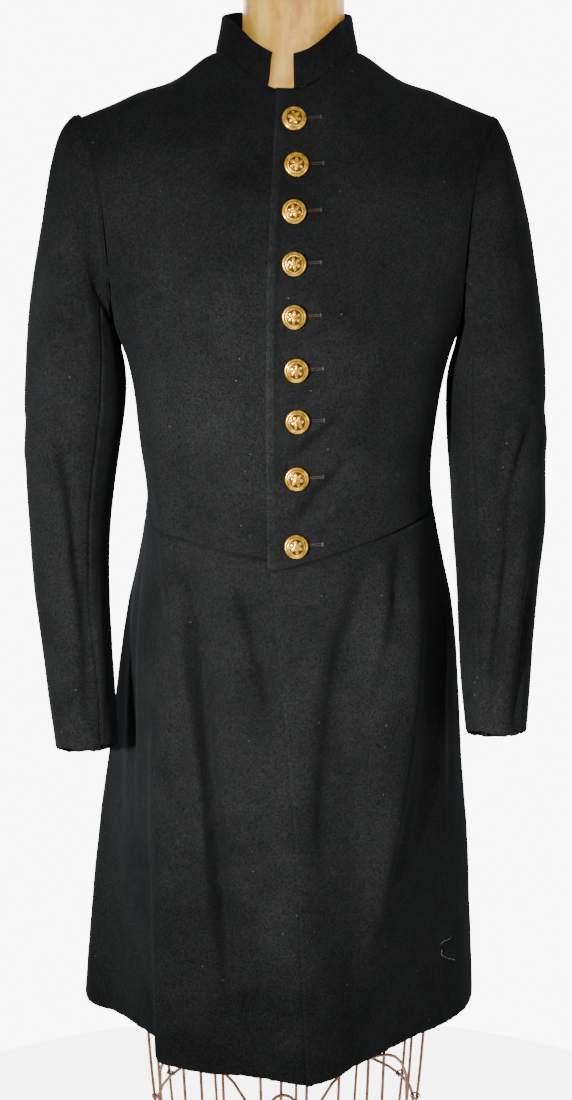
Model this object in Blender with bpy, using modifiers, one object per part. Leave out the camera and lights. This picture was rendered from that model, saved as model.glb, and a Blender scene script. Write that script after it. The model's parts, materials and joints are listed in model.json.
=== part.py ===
"""A single-breasted frock coat on a limbless dress form with a wire cage under its skirts.

The coat's pieces are walls of cloth cut from one surface: rings round the body up to the chest,
and arches from the chest over the shoulders above it. X is across, with the wearer's left at +X,
the front faces -Y, and the part stands on the plane Z = 0. Tables are in millimetres.
"""

import collections
import math

import bmesh
import bpy
from mathutils import Matrix, Vector

MM = 0.001
COLLECTION = "frock_coat_on_form"

# Cloth and seams
CLOTH = 1.8 * MM
SEAM = 0.6 * MM
WAIST_SEAM = 1.2 * MM
SHOULDER_SEAM = 1.0 * MM
SLEEVE_SEAM = 2.0 * MM
SLEEVE_EASE = 1.1 * MM
COLLAR_SEAM = 0.6 * MM
LAP_DROP = 2.6 * MM
SKIRT_DROP = 3.4 * MM
UNDER_LAP = 26 * MM

# Body of the coat
CENTRE_X = -2 * MM
RING_POWER = 2.35
ARCH_POWER = 0.62
CHEST = 948 * MM
HEM = 268 * MM
FRONT_SEAM_SHARE = 0.965
WAIST_BACK = 752 * MM
VENT_TOP = 735 * MM
VENT_LAP = 16 * MM
PLEAT_TUCK = 12 * MM

# Columns of a front or back panel, inside and outside the corner of its neck
INNER_COLUMNS = 5
OUTER_COLUMNS = 6
FOREPART_ROWS = 8

# Neck and collar
NECK_HALF = 66 * MM
NECK_MIDDLE = 5 * MM
NECK_BOTTOM = 1153 * MM
NECK_FRONT = 83 * MM
NECK_BACK = 53 * MM
COLLAR_HEIGHT = 34 * MM
COLLAR_FRONT_HEIGHT = 30 * MM
COLLAR_LEAN = 8 * MM
COLLAR_ENDS = (2.5 * MM, -10.6 * MM)

# Armholes
ARMHOLE_LOW = 930 * MM
ARMHOLE_TOP = 1126 * MM
ARMHOLE_LOW_X = 158 * MM
ARMHOLE_TOP_X = 190 * MM

# Front edges, from the middle towards the wearer's left
LAP_EDGE_TOP = -10 * MM
LAP_EDGE_WAIST = -13 * MM
LAP_EDGE_BOW = 3 * MM
SKIRT_EDGE_WAIST = -7 * MM
SKIRT_EDGE_HEM = 17 * MM
SKIRT_EDGE_POWER = 0.75

# Buttons
BUTTON_RADIUS = 11.3 * MM
BUTTON_DOME = 5.5 * MM
HIP_BUTTON_X = 28 * MM
HIP_BUTTON_Z = 764 * MM
BUTTON_SHANK = 1.6 * MM
BUTTON_LIFT = 0.5 * MM
BUTTON_STEPS = 12

# Dress form
FORM_GAP = 2.4 * MM
FORM_EASE = 5 * MM
FORM_HIP_EASE = 17 * MM
FORM_BOTTOM = 605 * MM
FORM_TOP = 1262 * MM
FORM_NECK_HALF = 46.5 * MM
FORM_NECK_FRONT = 52 * MM
FORM_NECK_BACK = 40 * MM
FORM_NECK_X = 5.8 * MM
FORM_NECK_Y = -2 * MM
BOARD_HEIGHT = 14 * MM
BOARD_INSET = 4 * MM

# Wire cage
WIRE = 1.6 * MM
CAGE_X = -3 * MM
CAGE_Y = 2 * MM
BASE_RADIUS = 117 * MM
BASE_WIDTH = 9 * MM
BASE_HEIGHT = 4 * MM
TOUCH = 0.3 * MM


def table(columns, *values):
    """Rows of named values in metres, from a heading and rows in millimetres."""
    row = collections.namedtuple("Row", columns.split())
    return [row(*(value * MM for value in line)) for line in values]


# Height of the waist seam in front and at the side, on the wearer's right and left
WAIST = dict(zip("RL", table("front side", (737, 758), (731, 768))))

BODY_RINGS = table(
    "height right left front back",
    (268, 191, 181, 185, 188),
    (342, 186, 176.5, 177, 176),
    (414, 180, 172.5, 169, 167),
    (525, 169, 164, 157, 152),
    (595, 160.5, 158.5, 149, 141),
    (664, 151, 153, 140, 128),
    (712, 141, 145, 131, 112),
    (746, 135.5, 139.5, 124, 97),
    (780, 131.5, 135, 120.5, 88),
    (820, 136.5, 135.5, 119, 90),
    (865, 141.5, 141.5, 119, 98),
    (894, 145, 146.5, 119, 104),
    (930, 157.5, 157.5, 118.5, 110),
    (948, 165, 165, 118, 112),
    (1000, 182, 182, 116, 113),
    (1130, 206, 206, 110, 111),
    (1210, 212, 212, 108, 110),
)

SHOULDER_LINE = table(
    "across height middle",
    (0, 1202, 5),
    (40, 1193, 5),
    (66, 1184, 5),
    (82, 1170.5, 5),
    (100, 1160.5, 5),
    (137, 1148, 4),
    (165, 1135.5, 2),
    (190, 1126, 0),
    (210, 1118, 0),
)

BACK_SEAM = table(
    "height across",
    (268, 98),
    (400, 80),
    (600, 55),
    (700, 42),
    (752, 38),
    (800, 45),
    (860, 68),
    (920, 106),
    (955, 133),
    (990, 166),
    (1005, 182),
    (1210, 260),
)

# Rows of the back panel below its arches, from the hem up
BACK_ROWS = table(
    "height",
    (268,), (345,), (425,), (505,), (580,), (645,), (695,), (735,),
    (752,), (775,), (800,), (830,), (865,), (905,), (948,),
)
BACK_ARCH_ROWS = 7

# Height of the side body's top edge, by how far round it is from its front seam to its back seam
SIDE_TOP = (
    (0.0, 948),
    (0.15, 937),
    (0.3, 930.5),
    (0.5, 931.5),
    (0.7, 942),
    (0.85, 960),
    (1.0, 990),
)

SLEEVE_RINGS = {
    "R": table(
        "outer_x outer_z inner_x inner_z middle_y half_depth",
        (202, 1111, 159.5, 924, 0, 64),
        (209.5, 1086, 157, 917, 0, 66),
        (218, 1052, 154.5, 908, 0, 67),
        (227, 1008, 151.8, 899, 2, 66),
        (235.5, 958, 150.5, 887, 4, 64),
        (240.5, 905, 151, 866, 6, 61),
        (243.5, 845, 155.5, 833, 8, 57),
        (242.5, 794, 162.5, 787, 3, 54),
        (239.5, 752, 166.5, 745, -8, 53),
        (233.5, 690, 166.5, 688, -32, 52),
        (226, 640, 163, 640, -53, 51),
        (219.5, 595, 159, 598, -72, 50),
        (213, 554, 156.5, 558, -89, 49),
    ),
    "L": table(
        "outer_x outer_z inner_x inner_z middle_y half_depth",
        (201.5, 1108, 159.5, 924, 0, 64),
        (210.5, 1080, 157, 916, 0, 66),
        (220.5, 1040, 154.5, 907, 0, 67),
        (229.5, 992, 151.5, 897, 2, 66),
        (237, 942, 149.5, 885, 4, 64),
        (242, 886, 149, 861, 6, 61),
        (243.5, 845, 150.5, 829, 8, 57),
        (242.5, 798, 153.5, 789, 3, 54),
        (240.5, 752, 156.5, 742, -8, 53),
        (232.5, 692, 159.5, 688, -30, 52),
        (227.5, 645, 160.5, 645, -50, 51),
        (224, 606, 162, 608, -68, 50),
        (220.5, 569, 166, 569, -84, 49),
    ),
}
TOP_SLEEVE = (-112.0, 125.0)
UNDER_SLEEVE = (125.0, 248.0)
SLEEVE_SEAM_ANGLE = 1.05

BUTTONS = table(
    "height across",
    (1126, 6),
    (1087, 8),
    (1047, 6),
    (1002, 6),
    (956, 6),
    (909, 8),
    (863.5, 9),
    (812, 8.5),
    (751, 8),
)

# The hem seen from above: crests and troughs by their angle from the front, towards the wearer's
# left. The step on the wearer's right is a fold whose edge hides the cloth behind it.
HEM_OUTLINE = (
    (-180, 190), (-168, 191), (-156, 183), (-142, 190), (-127, 175), (-113, 195), (-101, 204),
    (-89, 194), (-80, 168), (-68, 157), (-56, 154), (-49, 159), (-44.5, 176), (-41, 188),
    (-36, 189), (-29, 188), (-21.6, 185), (-11.4, 182), (-4, 190), (3.5, 202), (8.5, 197),
    (16.3, 181), (21, 169), (33, 155), (48, 147), (58, 149), (68, 157), (87, 173), (96, 180),
    (111, 186), (127, 174), (142, 190), (156, 184), (168, 191), (180, 190),
)
FOLD_POWER = 1.4
FOLD_DRIFT = 0.25

# Soft folds higher up: the angle at the waist and at the hem in degrees, the half width in
# degrees, the depth in the middle of the skirt, in millimetres
Fold = collections.namedtuple("Fold", "at_waist at_hem width depth")
SOFT_FOLDS = (
    Fold(31, 10, 8, -7),
    Fold(42, 29, 9, 6),
    Fold(-35, -16, 7, -7),
    Fold(-47, -27, 8, 4),
    Fold(-17, -7, 7, -3),
    Fold(70, 66, 12, -4),
    Fold(105, 106, 12, 4),
    Fold(-100, -102, 12, 4),
    Fold(128, 130, 11, -5),
    Fold(-126, -130, 11, -5),
)

CAGE_RADII = table(
    "height radius",
    (4, 117),
    (90, 123),
    (167, 130.5),
    (237, 136),
    (350, 139),
    (450, 132),
    (600, 112),
)
UPRIGHTS = (-2, -10, 8, -25.5, 21, -36, 35, -46, 43, -67, 62, 90, -90, 115, -115, 145, -145, 175)
HOOPS = table("height", (167,), (410,))
# Arches of wire outside the uprights: their ends in degrees from the front, and their top
Arch = collections.namedtuple("Arch", "name start end top")
ARCHES = (
    Arch("middle_arch", -9.5, 7.5, 231),
    Arch("right_arch", -66, -11.5, 258),
    Arch("left_arch", 9.5, 61, 258),
)
ARCH_FOOT = 172 * MM
HOOP_INSET = 3.85 * MM
ARCH_OUTSET = 2.95 * MM

# Colours, linear
WOOL = (0.0075, 0.008, 0.011)
LINEN = (0.50, 0.36, 0.17)
GILT = (0.80, 0.50, 0.14)
RUST = (0.085, 0.040, 0.026)
WOOD = (0.20, 0.11, 0.05)


def curve_value(points, at):
    """Smooth value of a column of (place, value) pairs, straight beyond its ends."""
    index = 1
    while index < len(points) - 1 and at > points[index][0]:
        index += 1
    (x0, y0), (x1, y1) = points[index - 1], points[index]
    slope = (y1 - y0) / (x1 - x0)
    share = min(max((at - x0) / (x1 - x0), 0.0), 1.0)

    def tangent(middle):
        if middle in (0, len(points) - 1):
            return slope
        before, after = points[middle - 1], points[middle + 1]
        return (after[1] - before[1]) / (after[0] - before[0])

    run = x1 - x0
    a, b = tangent(index - 1) * run, tangent(index) * run
    s2, s3 = share * share, share * share * share
    return (
        (2 * s3 - 3 * s2 + 1) * y0 + (s3 - 2 * s2 + share) * a
        + (3 * s2 - 2 * s3) * y1 + (s3 - s2) * b
    )


def column(rows, key, name, at):
    return curve_value([(getattr(row, key), getattr(row, name)) for row in rows], at)


def smooth(share):
    share = min(max(share, 0.0), 1.0)
    return share * share * (3 - 2 * share)


def half_width(side, z):
    return column(BODY_RINGS, "height", "left" if side == "L" else "right", z)


def armhole_x(z):
    """How far out the armhole's edge is at height z."""
    share = (z - ARMHOLE_LOW) / (ARMHOLE_TOP - ARMHOLE_LOW)
    rise = ARMHOLE_TOP_X - ARMHOLE_LOW_X
    share = max(share, 0.0)
    return ARMHOLE_LOW_X + rise * (0.375 * share + 0.625 * share ** 5)


def ridge(x):
    return column(SHOULDER_LINE, "across", "height", abs(x))


def ridge_y(x):
    return column(SHOULDER_LINE, "across", "middle", abs(x))


def surface_y(x, z, side, facing):
    """Depth of the coat's outer surface at x, z, on the front or on the back."""
    width = half_width(side, z)
    share = min(abs(x) / width, 1.0)
    depth = column(BODY_RINGS, "height", facing, z) * (1 - share ** RING_POWER) ** (1 / RING_POWER)
    y = depth if facing == "back" else -depth
    if z > CHEST:
        rise = min((z - CHEST) / (ridge(x) - CHEST), 1.0)
        fall = math.sqrt(1 - rise * rise) ** ARCH_POWER
        y = ridge_y(x) + (y - ridge_y(x)) * fall
    return y


def place(x, y, z, side):
    return Vector((CENTRE_X + (x if side == "L" else -x), y, z))


def outward(x, z, side, facing):
    """Unit normal of the outer surface, in the half's own x that grows outwards."""
    step = 2 * MM
    dx = (surface_y(x + step, z, side, facing) - surface_y(x - step, z, side, facing)) / (2 * step)
    dz = (surface_y(x, z + step, side, facing) - surface_y(x, z - step, side, facing)) / (2 * step)
    normal = Vector((dx, -1, dz)) if facing == "front" else Vector((-dx, 1, -dz))
    return normal.normalized()


def neck_angle(x, facing):
    """How far up its arch the column at x reaches: the shoulder, or the neck inside it."""
    if abs(x) >= NECK_HALF:
        return math.pi / 2
    reach = NECK_FRONT if facing == "front" else -NECK_BACK
    y = NECK_MIDDLE - reach * math.sqrt(1 - (x / NECK_HALF) ** 2)
    z = ridge(x)
    for _ in range(6):
        share = min(abs(x) / half_width("L", z), 1.0)
        flat = column(BODY_RINGS, "height", facing, z) * (1 - share ** RING_POWER) ** (1 / RING_POWER)
        base = flat if facing == "back" else -flat
        fall = max((y - ridge_y(x)) / (base - ridge_y(x)), 0.0)
        angle = math.acos(min(fall ** (1 / ARCH_POWER), 1.0))
        z = CHEST + (ridge(x) - CHEST) * math.sin(angle)
    return angle


def arch_height(x, share, facing):
    return CHEST + (ridge(x) - CHEST) * math.sin(share * neck_angle(x, facing))


def waist_height(share, side, facing):
    share = min(max(share, 0.0), 1.0)
    middle = WAIST[side].front if facing == "front" else WAIST_BACK
    return middle + (WAIST[side].side - middle) * (share if facing == "front" else share ** 2)


def front_seam_x(z, side):
    if z <= CHEST:
        return FRONT_SEAM_SHARE * half_width(side, z)
    return armhole_x(z)


def back_seam_x(z):
    return min(column(BACK_SEAM, "height", "across", z), armhole_x(z))


def edge_at_row(seam, share, facing):
    """Outer edge of a panel above the chest: where its row meets the seam or armhole."""
    x = seam(CHEST)
    for _ in range(30):
        x = 0.5 * (x + seam(arch_height(x, share, facing)))
    return x


def lap_edge(z):
    """The wearer's left front edge, which lies over the right front."""
    share = (z - WAIST["L"].front) / (NECK_BOTTOM - WAIST["L"].front)
    straight = LAP_EDGE_WAIST + (LAP_EDGE_TOP - LAP_EDGE_WAIST) * share
    return straight - LAP_EDGE_BOW * math.sin(math.pi * share)


def skirt_edge(z):
    share = max(WAIST["L"].front - z, 0.0) / (WAIST["L"].front - HEM)
    return SKIRT_EDGE_WAIST + (SKIRT_EDGE_HEM - SKIRT_EDGE_WAIST) * share ** SKIRT_EDGE_POWER


def panel_columns(first, edge, neck_share):
    """Places across a panel: close together at the neck's corner and at the side."""
    corner = edge * neck_share
    start = math.asin(max(min(first / corner, 1.0), -1.0))
    places = []
    for index in range(INNER_COLUMNS + 1):
        places.append(corner * math.sin(start + (math.pi / 2 - start) * index / INNER_COLUMNS))
    for index in range(1, OUTER_COLUMNS + 1):
        share = math.sin(math.pi / 2 * index / OUTER_COLUMNS) ** 0.85
        places.append(corner + (edge - corner) * share)
    return places


def plain_material(name, colour, roughness, metallic=0.0):
    material = bpy.data.materials.get(name)
    if material:
        return material
    material = bpy.data.materials.new(name)
    material.use_nodes = True
    shader = material.node_tree.nodes["Principled BSDF"]
    shader.inputs["Base Color"].default_value = (*colour, 1)
    shader.inputs["Roughness"].default_value = roughness
    shader.inputs["Metallic"].default_value = metallic
    return material


def add_object(name, mesh, material):
    obj = bpy.data.objects.new(name, mesh)
    bpy.data.collections[COLLECTION].objects.link(obj)
    mesh.materials.append(material)
    return obj


def grid_mesh(name, rows):
    """Quads between rows of points."""
    mesh = bmesh.new()
    points = [[mesh.verts.new(point) for point in row] for row in rows]
    for low, high in zip(points, points[1:]):
        for a, b, c, d in zip(low, low[1:], high[1:], high):
            mesh.faces.new((a, b, c, d))
    data = bpy.data.meshes.new(name)
    mesh.to_mesh(data)
    mesh.free()
    data.shade_smooth()
    return data


def cloth_wall(name, rows, inside):
    """A wall of cloth whose outer face goes through the rows; inside is a point behind it."""
    middle = rows[len(rows) // 2]
    centre = middle[len(middle) // 2]
    across = middle[len(middle) // 2 + 1] - centre
    up = rows[len(rows) // 2 + 1][len(middle) // 2] - centre
    if across.cross(up).dot(centre - inside) < 0:
        rows = [list(reversed(row)) for row in rows]
    material = plain_material("wool_broadcloth", WOOL, 0.9)
    obj = add_object(name, grid_mesh(name, rows), material)
    solidify = obj.modifiers.new("Cloth", "SOLIDIFY")
    solidify.thickness = CLOTH
    solidify.offset = -1
    return obj


def body_point(x, z, side, facing, inward=0.0):
    """A point of the coat's body, moved in along the normal where another piece lies over it."""
    y = surface_y(x, z, side, facing)
    if inward:
        normal = outward(x, z, side, facing)
        return place(x - normal.x * inward, y - normal.y * inward, z - normal.z * inward, side)
    return place(x, y, z, side)


def forepart_rows(side):
    """Points of the front panel, from the waist seam up to the shoulder seam and the neck."""
    rows = []
    for index in range(2 * FOREPART_ROWS + 1):
        upper = index > FOREPART_ROWS
        share = index / FOREPART_ROWS - 1 if upper else index / FOREPART_ROWS
        if upper:
            rough_z = arch_height(0, share, "front")
            edge = edge_at_row(lambda z: front_seam_x(z, side), share, "front")
        else:
            rough_z = WAIST[side].side + (CHEST - WAIST[side].side) * share
            edge = front_seam_x(rough_z, side)
        lap = lap_edge(rough_z)
        first = lap if side == "L" else -(lap + UNDER_LAP)
        row = []
        for x in panel_columns(first, edge - SEAM / 6, NECK_HALF / ARMHOLE_TOP_X):
            if upper:
                z = arch_height(x, share, "front")
            else:
                z_waist = waist_height(x / edge, side, "front") + WAIST_SEAM / 2
                z = z_waist + (CHEST - z_waist) * share
            inward = LAP_DROP * smooth((46 * MM - x) / (24 * MM)) if side == "R" else 0.0
            point = body_point(x, z, side, "front", inward)
            if share == 1.0 and upper and x > NECK_HALF * 0.99:
                point.y -= SHOULDER_SEAM / 2
            row.append(point)
        rows.append(row)
    return rows


def ring_angle(x, side, z):
    return math.asin(min(abs(x) / half_width(side, z), 1.0) ** (RING_POWER / 2))


def ring_x(angle, side, z):
    return half_width(side, z) * abs(math.sin(angle)) ** (2 / RING_POWER)


def side_top(share):
    return curve_value(SIDE_TOP, share) * MM


def side_body_point(share, z, side):
    start = ring_angle(front_seam_x(min(z, CHEST), side) + SEAM / 6, side, z)
    end = math.pi - ring_angle(back_seam_x(z) + SEAM / 2, side, z)
    angle = start + (end - start) * share
    facing = "front" if angle < math.pi / 2 else "back"
    return body_point(ring_x(angle, side, z), z, side, facing)


def side_low(share, side):
    """Height of the side body's lower edge, which follows the waist seam."""
    start = math.asin(FRONT_SEAM_SHARE ** (RING_POWER / 2))
    end = math.pi - ring_angle(back_seam_x(WAIST_BACK), side, WAIST_BACK)
    angle = start + (end - start) * share
    facing = "front" if angle < math.pi / 2 else "back"
    return waist_height(math.sin(angle) ** (2 / RING_POWER), side, facing) + WAIST_SEAM / 2


def side_body_rows(side):
    """Points of the panel under the arm, its rows at the heights of the back panel's rows."""
    seam_heights = [row.height for row in BACK_ROWS if row.height > WAIST_BACK] + [side_top(1.0)]
    across = 9
    rows = []
    for height in [WAIST_BACK + WAIST_SEAM / 2] + seam_heights:
        level = (height - WAIST_BACK) / (side_top(1.0) - WAIST_BACK)
        points = []
        for col in range(across + 1):
            share = col / across
            low = side_low(share, side)
            z = low + (side_top(share) - low) * level
            points.append(side_body_point(share, z, side))
        rows.append(points)
    return rows


def vent(z):
    """Share by which the tails overlap below the waist."""
    return smooth((VENT_TOP - z) / (60 * MM))


def ring_radius(degrees, z):
    """Distance of the plain ring from its middle at an angle from the front."""
    turn = math.radians(degrees)
    width = half_width("L" if degrees >= 0 else "R", z)
    depth = column(BODY_RINGS, "height", "front" if abs(degrees) < 90 else "back", z)
    across, along_y = abs(math.sin(turn)) / width, abs(math.cos(turn)) / depth
    return (across ** RING_POWER + along_y ** RING_POWER) ** (-1 / RING_POWER)


def fold_offset(degrees, z):
    """How far the folds move the skirt out at an angle from the front and a height."""
    level = skirt_level(z)
    drift = FOLD_DRIFT * (1 - level) * math.cos(math.radians(degrees) / 2) ** 2
    at_hem = degrees * (1 - drift)
    offset = curve_value(HEM_OUTLINE, at_hem) * MM - ring_radius(at_hem, HEM)
    offset *= level ** FOLD_POWER
    for fold in SOFT_FOLDS:
        place_now = fold.at_waist + (fold.at_hem - fold.at_waist) * level
        away = (degrees - place_now) / fold.width
        offset += fold.depth * MM * math.sin(math.pi * level ** 0.7) * math.exp(-away * away)
    return offset


def skirt_level(z):
    """0 at the waist and 1 at the hem."""
    return min(max((WAIST_BACK - z) / (WAIST_BACK - HEM), 0.0), 1.0)


def folded(point):
    """The point moved in or out by the skirt's folds."""
    if point.z >= WAIST_BACK:
        return point
    flat = Vector((point.x - CENTRE_X, point.y, 0))
    degrees = math.degrees(math.atan2(flat.x, -flat.y))
    return point + flat.normalized() * fold_offset(degrees, point.z)


def back_rows(side):
    """Points of the back from the hem to the neck, narrow at the waist, with a vent below it."""
    rows = []
    for index in range(len(BACK_ROWS) + BACK_ARCH_ROWS):
        upper = index >= len(BACK_ROWS)
        share = (index - len(BACK_ROWS) + 1) / BACK_ARCH_ROWS if upper else 0.0
        height = CHEST if upper else BACK_ROWS[index].height
        edge = edge_at_row(back_seam_x, share, "back") if upper else back_seam_x(height)
        neck_share = 0.6 + (NECK_HALF / edge - 0.6) * smooth(share)
        first = SEAM / 2 - (VENT_LAP * vent(height) if side == "L" else 0.0)
        row = []
        for x in panel_columns(first, edge - SEAM / 2, neck_share):
            z = arch_height(x, share, "back") if upper else height
            under = 0.0
            if side == "R":
                under = LAP_DROP * smooth((WAIST_BACK - z) / (WAIST_BACK - VENT_TOP))
                under *= smooth((26 * MM - x) / (8 * MM))
            point = folded(body_point(x, z, side, "back", under))
            if share == 1.0 and x > NECK_HALF * 0.99:
                point.y += SHOULDER_SEAM / 2
            row.append(point)
        rows.append(row)
    return rows


def skirt_angle(side, z, share):
    """Angle on the ring at a share of the way round from the front edge to the pleat."""
    edge = skirt_edge(z)
    first = edge if side == "L" else -(edge + UNDER_LAP)
    start = math.copysign(ring_angle(first, side, z), first)
    seam = back_seam_x(z) + PLEAT_TUCK
    angle = start + (math.pi - ring_angle(seam, side, z) - start) * min(share, 1.0)
    if share > 1:
        angle = math.pi - ring_angle(back_seam_x(z) - PLEAT_TUCK, side, z)
    return angle


def skirt_rows(side):
    """Points of a skirt, from the front edge round to the pleat under the edge of the back."""
    columns, down = 27, 11
    rows = []
    for index in range(down + 1):
        points = []
        for col in range(columns + 2):
            z = HEM
            for _ in range(3):
                angle = skirt_angle(side, z, col / columns)
                facing = "front" if angle < math.pi / 2 else "back"
                across = math.copysign(abs(math.sin(angle)) ** (2 / RING_POWER), math.sin(angle))
                waist = waist_height(across, side, facing) - WAIST_SEAM / 2
                z = waist + (HEM - waist) * index / down
            x = across * half_width(side, z)
            inward = SKIRT_DROP if col >= columns else 0.0
            if side == "R" and facing == "front":
                inward = SKIRT_DROP * smooth((44 * MM - x) / (24 * MM))
            points.append(folded(body_point(x, z, side, facing, inward)))
        rows.append(points)
    return rows


def armhole_loop(side):
    """The armhole's edge as a closed run of points: the top, down the front and up the back."""
    front = [row[-1] for row in forepart_rows(side)[FOREPART_ROWS + 1:]]
    under = side_body_rows(side)[-1]
    back = [row[-1] for row in back_rows(side)[len(BACK_ROWS) + 1:]]
    return list(reversed(front)) + under + back + front[-1:]


def along(points, share):
    """The point at a share of the length of a run of points."""
    lengths = [(b - a).length for a, b in zip(points, points[1:])]
    left = min(max(share, 0.0), 1.0) * sum(lengths)
    for start, end, length in zip(points, points[1:], lengths):
        if left <= length:
            return start.lerp(end, left / length)
        left -= length
    return points[-1]


def round_loop(loop, degrees):
    """The point of the armhole at an angle round it, 0 at its top and 90 in front."""
    middle = (loop[0] + min(loop, key=lambda point: point.z)) / 2
    degrees %= 360

    def turn(point):
        return math.degrees(math.atan2(middle.y - point.y, point.z - middle.z)) % 360

    for start, end in zip(loop, loop[1:]):
        low, high = turn(start), turn(end)
        if start is loop[0]:
            low = 0.0
        if end is loop[-1]:
            high = 360.0
        if low <= degrees <= high and high > low:
            return start.lerp(end, (degrees - low) / (high - low))
    return loop[0]


def sleeve_rows(side, first, last, columns):
    """Rows of points down a sleeve panel between two angles round it, 0 outside and 90 in front."""
    sign = 1 if side == "L" else -1
    loop = armhole_loop(side)
    degrees = [first + (last - first) * col / columns for col in range(columns + 1)]
    rows = [[]]
    for angle in degrees:
        turn = math.radians(angle)
        clear = Vector((sign * SLEEVE_SEAM, -math.sin(turn) * SLEEVE_EASE, math.cos(turn) * SLEEVE_EASE))
        rows[0].append(round_loop(loop, angle) + clear)
    rings = SLEEVE_RINGS[side]
    for index, ring in enumerate(rings):
        outer = Vector((CENTRE_X + sign * ring.outer_x, ring.middle_y, ring.outer_z))
        inner = Vector((CENTRE_X + sign * ring.inner_x, ring.middle_y, ring.inner_z))
        centre, reach = (outer + inner) / 2, (outer - inner) / 2
        before, after = rings[max(index - 1, 0)], rings[min(index + 1, len(rings) - 1)]
        fall = (after.inner_z + after.outer_z - before.inner_z - before.outer_z) / 2
        slope = (after.middle_y - before.middle_y) / fall
        front = Vector((0, -1, slope)).normalized() * ring.half_depth
        turns = [math.radians(angle) for angle in degrees]
        rows.append([centre + reach * math.cos(turn) + front * math.sin(turn) for turn in turns])
    return rows


def sleeve_panel(name, side, angles, columns):
    gap = SLEEVE_SEAM_ANGLE
    rows = sleeve_rows(side, angles[0] + gap, angles[1] - gap, columns)
    ring = SLEEVE_RINGS[side][6]
    sign = 1 if side == "L" else -1
    inside = Vector((sign * (ring.outer_x + ring.inner_x) / 2, ring.middle_y, ring.outer_z))
    return cloth_wall(f"{name}_{side}", rows, inside)


def neck_line():
    """The neck seam as a run of points, from the wearer's left front edge round to the right one."""
    points = []
    for side in "LR":
        front = forepart_rows(side)[-1][:INNER_COLUMNS + 1]
        back = back_rows(side)[-1][:INNER_COLUMNS + 1]
        half = front + list(reversed(back))[1:]
        points += half if side == "L" else list(reversed(half))[1:]
    return points


def collar_rows():
    """Points of the standing collar, open at the front and leaning in."""
    columns, up = 28, 2
    seam = neck_line()
    start = next(share / 200 for share in range(40) if along(seam, share / 200).x > COLLAR_ENDS[0])
    end = next(1 - share / 200 for share in range(1, 60) if along(seam, 1 - share / 200).x < COLLAR_ENDS[1])
    rows = []
    for index in range(up + 1):
        share = index / up
        points = []
        for col in range(columns + 1):
            base = along(seam, start + (end - start) * col / columns) + Vector((0, 0, COLLAR_SEAM))
            out = Vector((base.x - CENTRE_X, base.y - NECK_MIDDLE, 0))
            front = smooth(0.5 - out.y / (2 * NECK_FRONT))
            height = COLLAR_HEIGHT + (COLLAR_FRONT_HEIGHT - COLLAR_HEIGHT) * front
            lean = out.normalized() * COLLAR_LEAN * (1 - 0.4 * front)
            points.append(base + Vector((0, 0, height * share)) - lean * share ** 0.8)
        rows.append(points)
    return rows


def button_mesh():
    """A domed button with a rolled rim and a short shank behind it, turned about Z."""
    profile = (
        (0.0, BUTTON_DOME),
        (0.45 * BUTTON_RADIUS, 0.90 * BUTTON_DOME),
        (0.82 * BUTTON_RADIUS, 0.55 * BUTTON_DOME),
        (BUTTON_RADIUS, 0.28 * BUTTON_DOME),
        (0.96 * BUTTON_RADIUS, 0.12 * BUTTON_DOME),
        (0.28 * BUTTON_RADIUS, 0.0),
        (0.24 * BUTTON_RADIUS, -BUTTON_SHANK),
        (0.0, -BUTTON_SHANK),
    )
    mesh = bpy.data.meshes.new("button")
    points = [(radius, 0, height) for radius, height in profile]
    mesh.from_pydata(points, [(index, index + 1) for index in range(len(points) - 1)], [])
    return mesh


def add_button(name, mesh, x, z, side, facing, lift=0.0):
    """A button whose shank's end lies just off the cloth."""
    normal = outward(x, z, side, facing)
    if side == "R":
        normal = Vector((-normal.x, normal.y, normal.z))
    seat = place(x, surface_y(x, z, side, facing), z, side) + normal * (BUTTON_SHANK + BUTTON_LIFT + lift)
    obj = bpy.data.objects.new(name, mesh)
    bpy.data.collections[COLLECTION].objects.link(obj)
    obj.location = seat
    obj.rotation_euler = normal.to_track_quat("Z", "Y").to_euler()
    screw = obj.modifiers.new("Turn", "SCREW")
    screw.steps = screw.render_steps = BUTTON_STEPS
    screw.use_merge_vertices = True
    screw.merge_threshold = 0.00001
    return obj


def buttons():
    mesh = button_mesh()
    mesh.materials.append(plain_material("gilt_brass", GILT, 0.3, 1.0))
    for number, row in enumerate(BUTTONS, 1):
        add_button(f"button_{number}", mesh, row.across, row.height, "L", "front")
    for side in "RL":
        add_button(f"hip_button_{side}", mesh, HIP_BUTTON_X, HIP_BUTTON_Z, side, "back", 0.8 * MM)


def form_loop(z, count):
    """A ring of the dress form inside the coat: half the points in front and half behind."""
    lift = CLOTH + FORM_GAP
    upper = smooth((z - 1060 * MM) / (60 * MM))
    lower = smooth((WAIST_BACK - z) / (110 * MM))
    points = []
    for facing, sweep in (("front", range(count)), ("back", range(count, 0, -1))):
        for index in sweep:
            share = math.sin(math.pi * (index / count - 0.5))
            side = "L" if share >= 0 else "R"
            x = abs(share) * form_reach(z, side, lift + FORM_EASE + FORM_HIP_EASE * lower)
            middle = smooth((80 * MM - x) / (25 * MM))
            ease = lift + FORM_EASE * max(1 - upper, middle) + FORM_HIP_EASE * lower
            y = surface_y(x, min(z + lift, ridge(x)), side, facing)
            if facing == "front":
                points.append(place(x, min(y + ease, ridge_y(x) - 3 * MM), z, side))
            else:
                points.append(place(x, max(y - ease, ridge_y(x) + 3 * MM), z, side))
    return points


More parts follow.
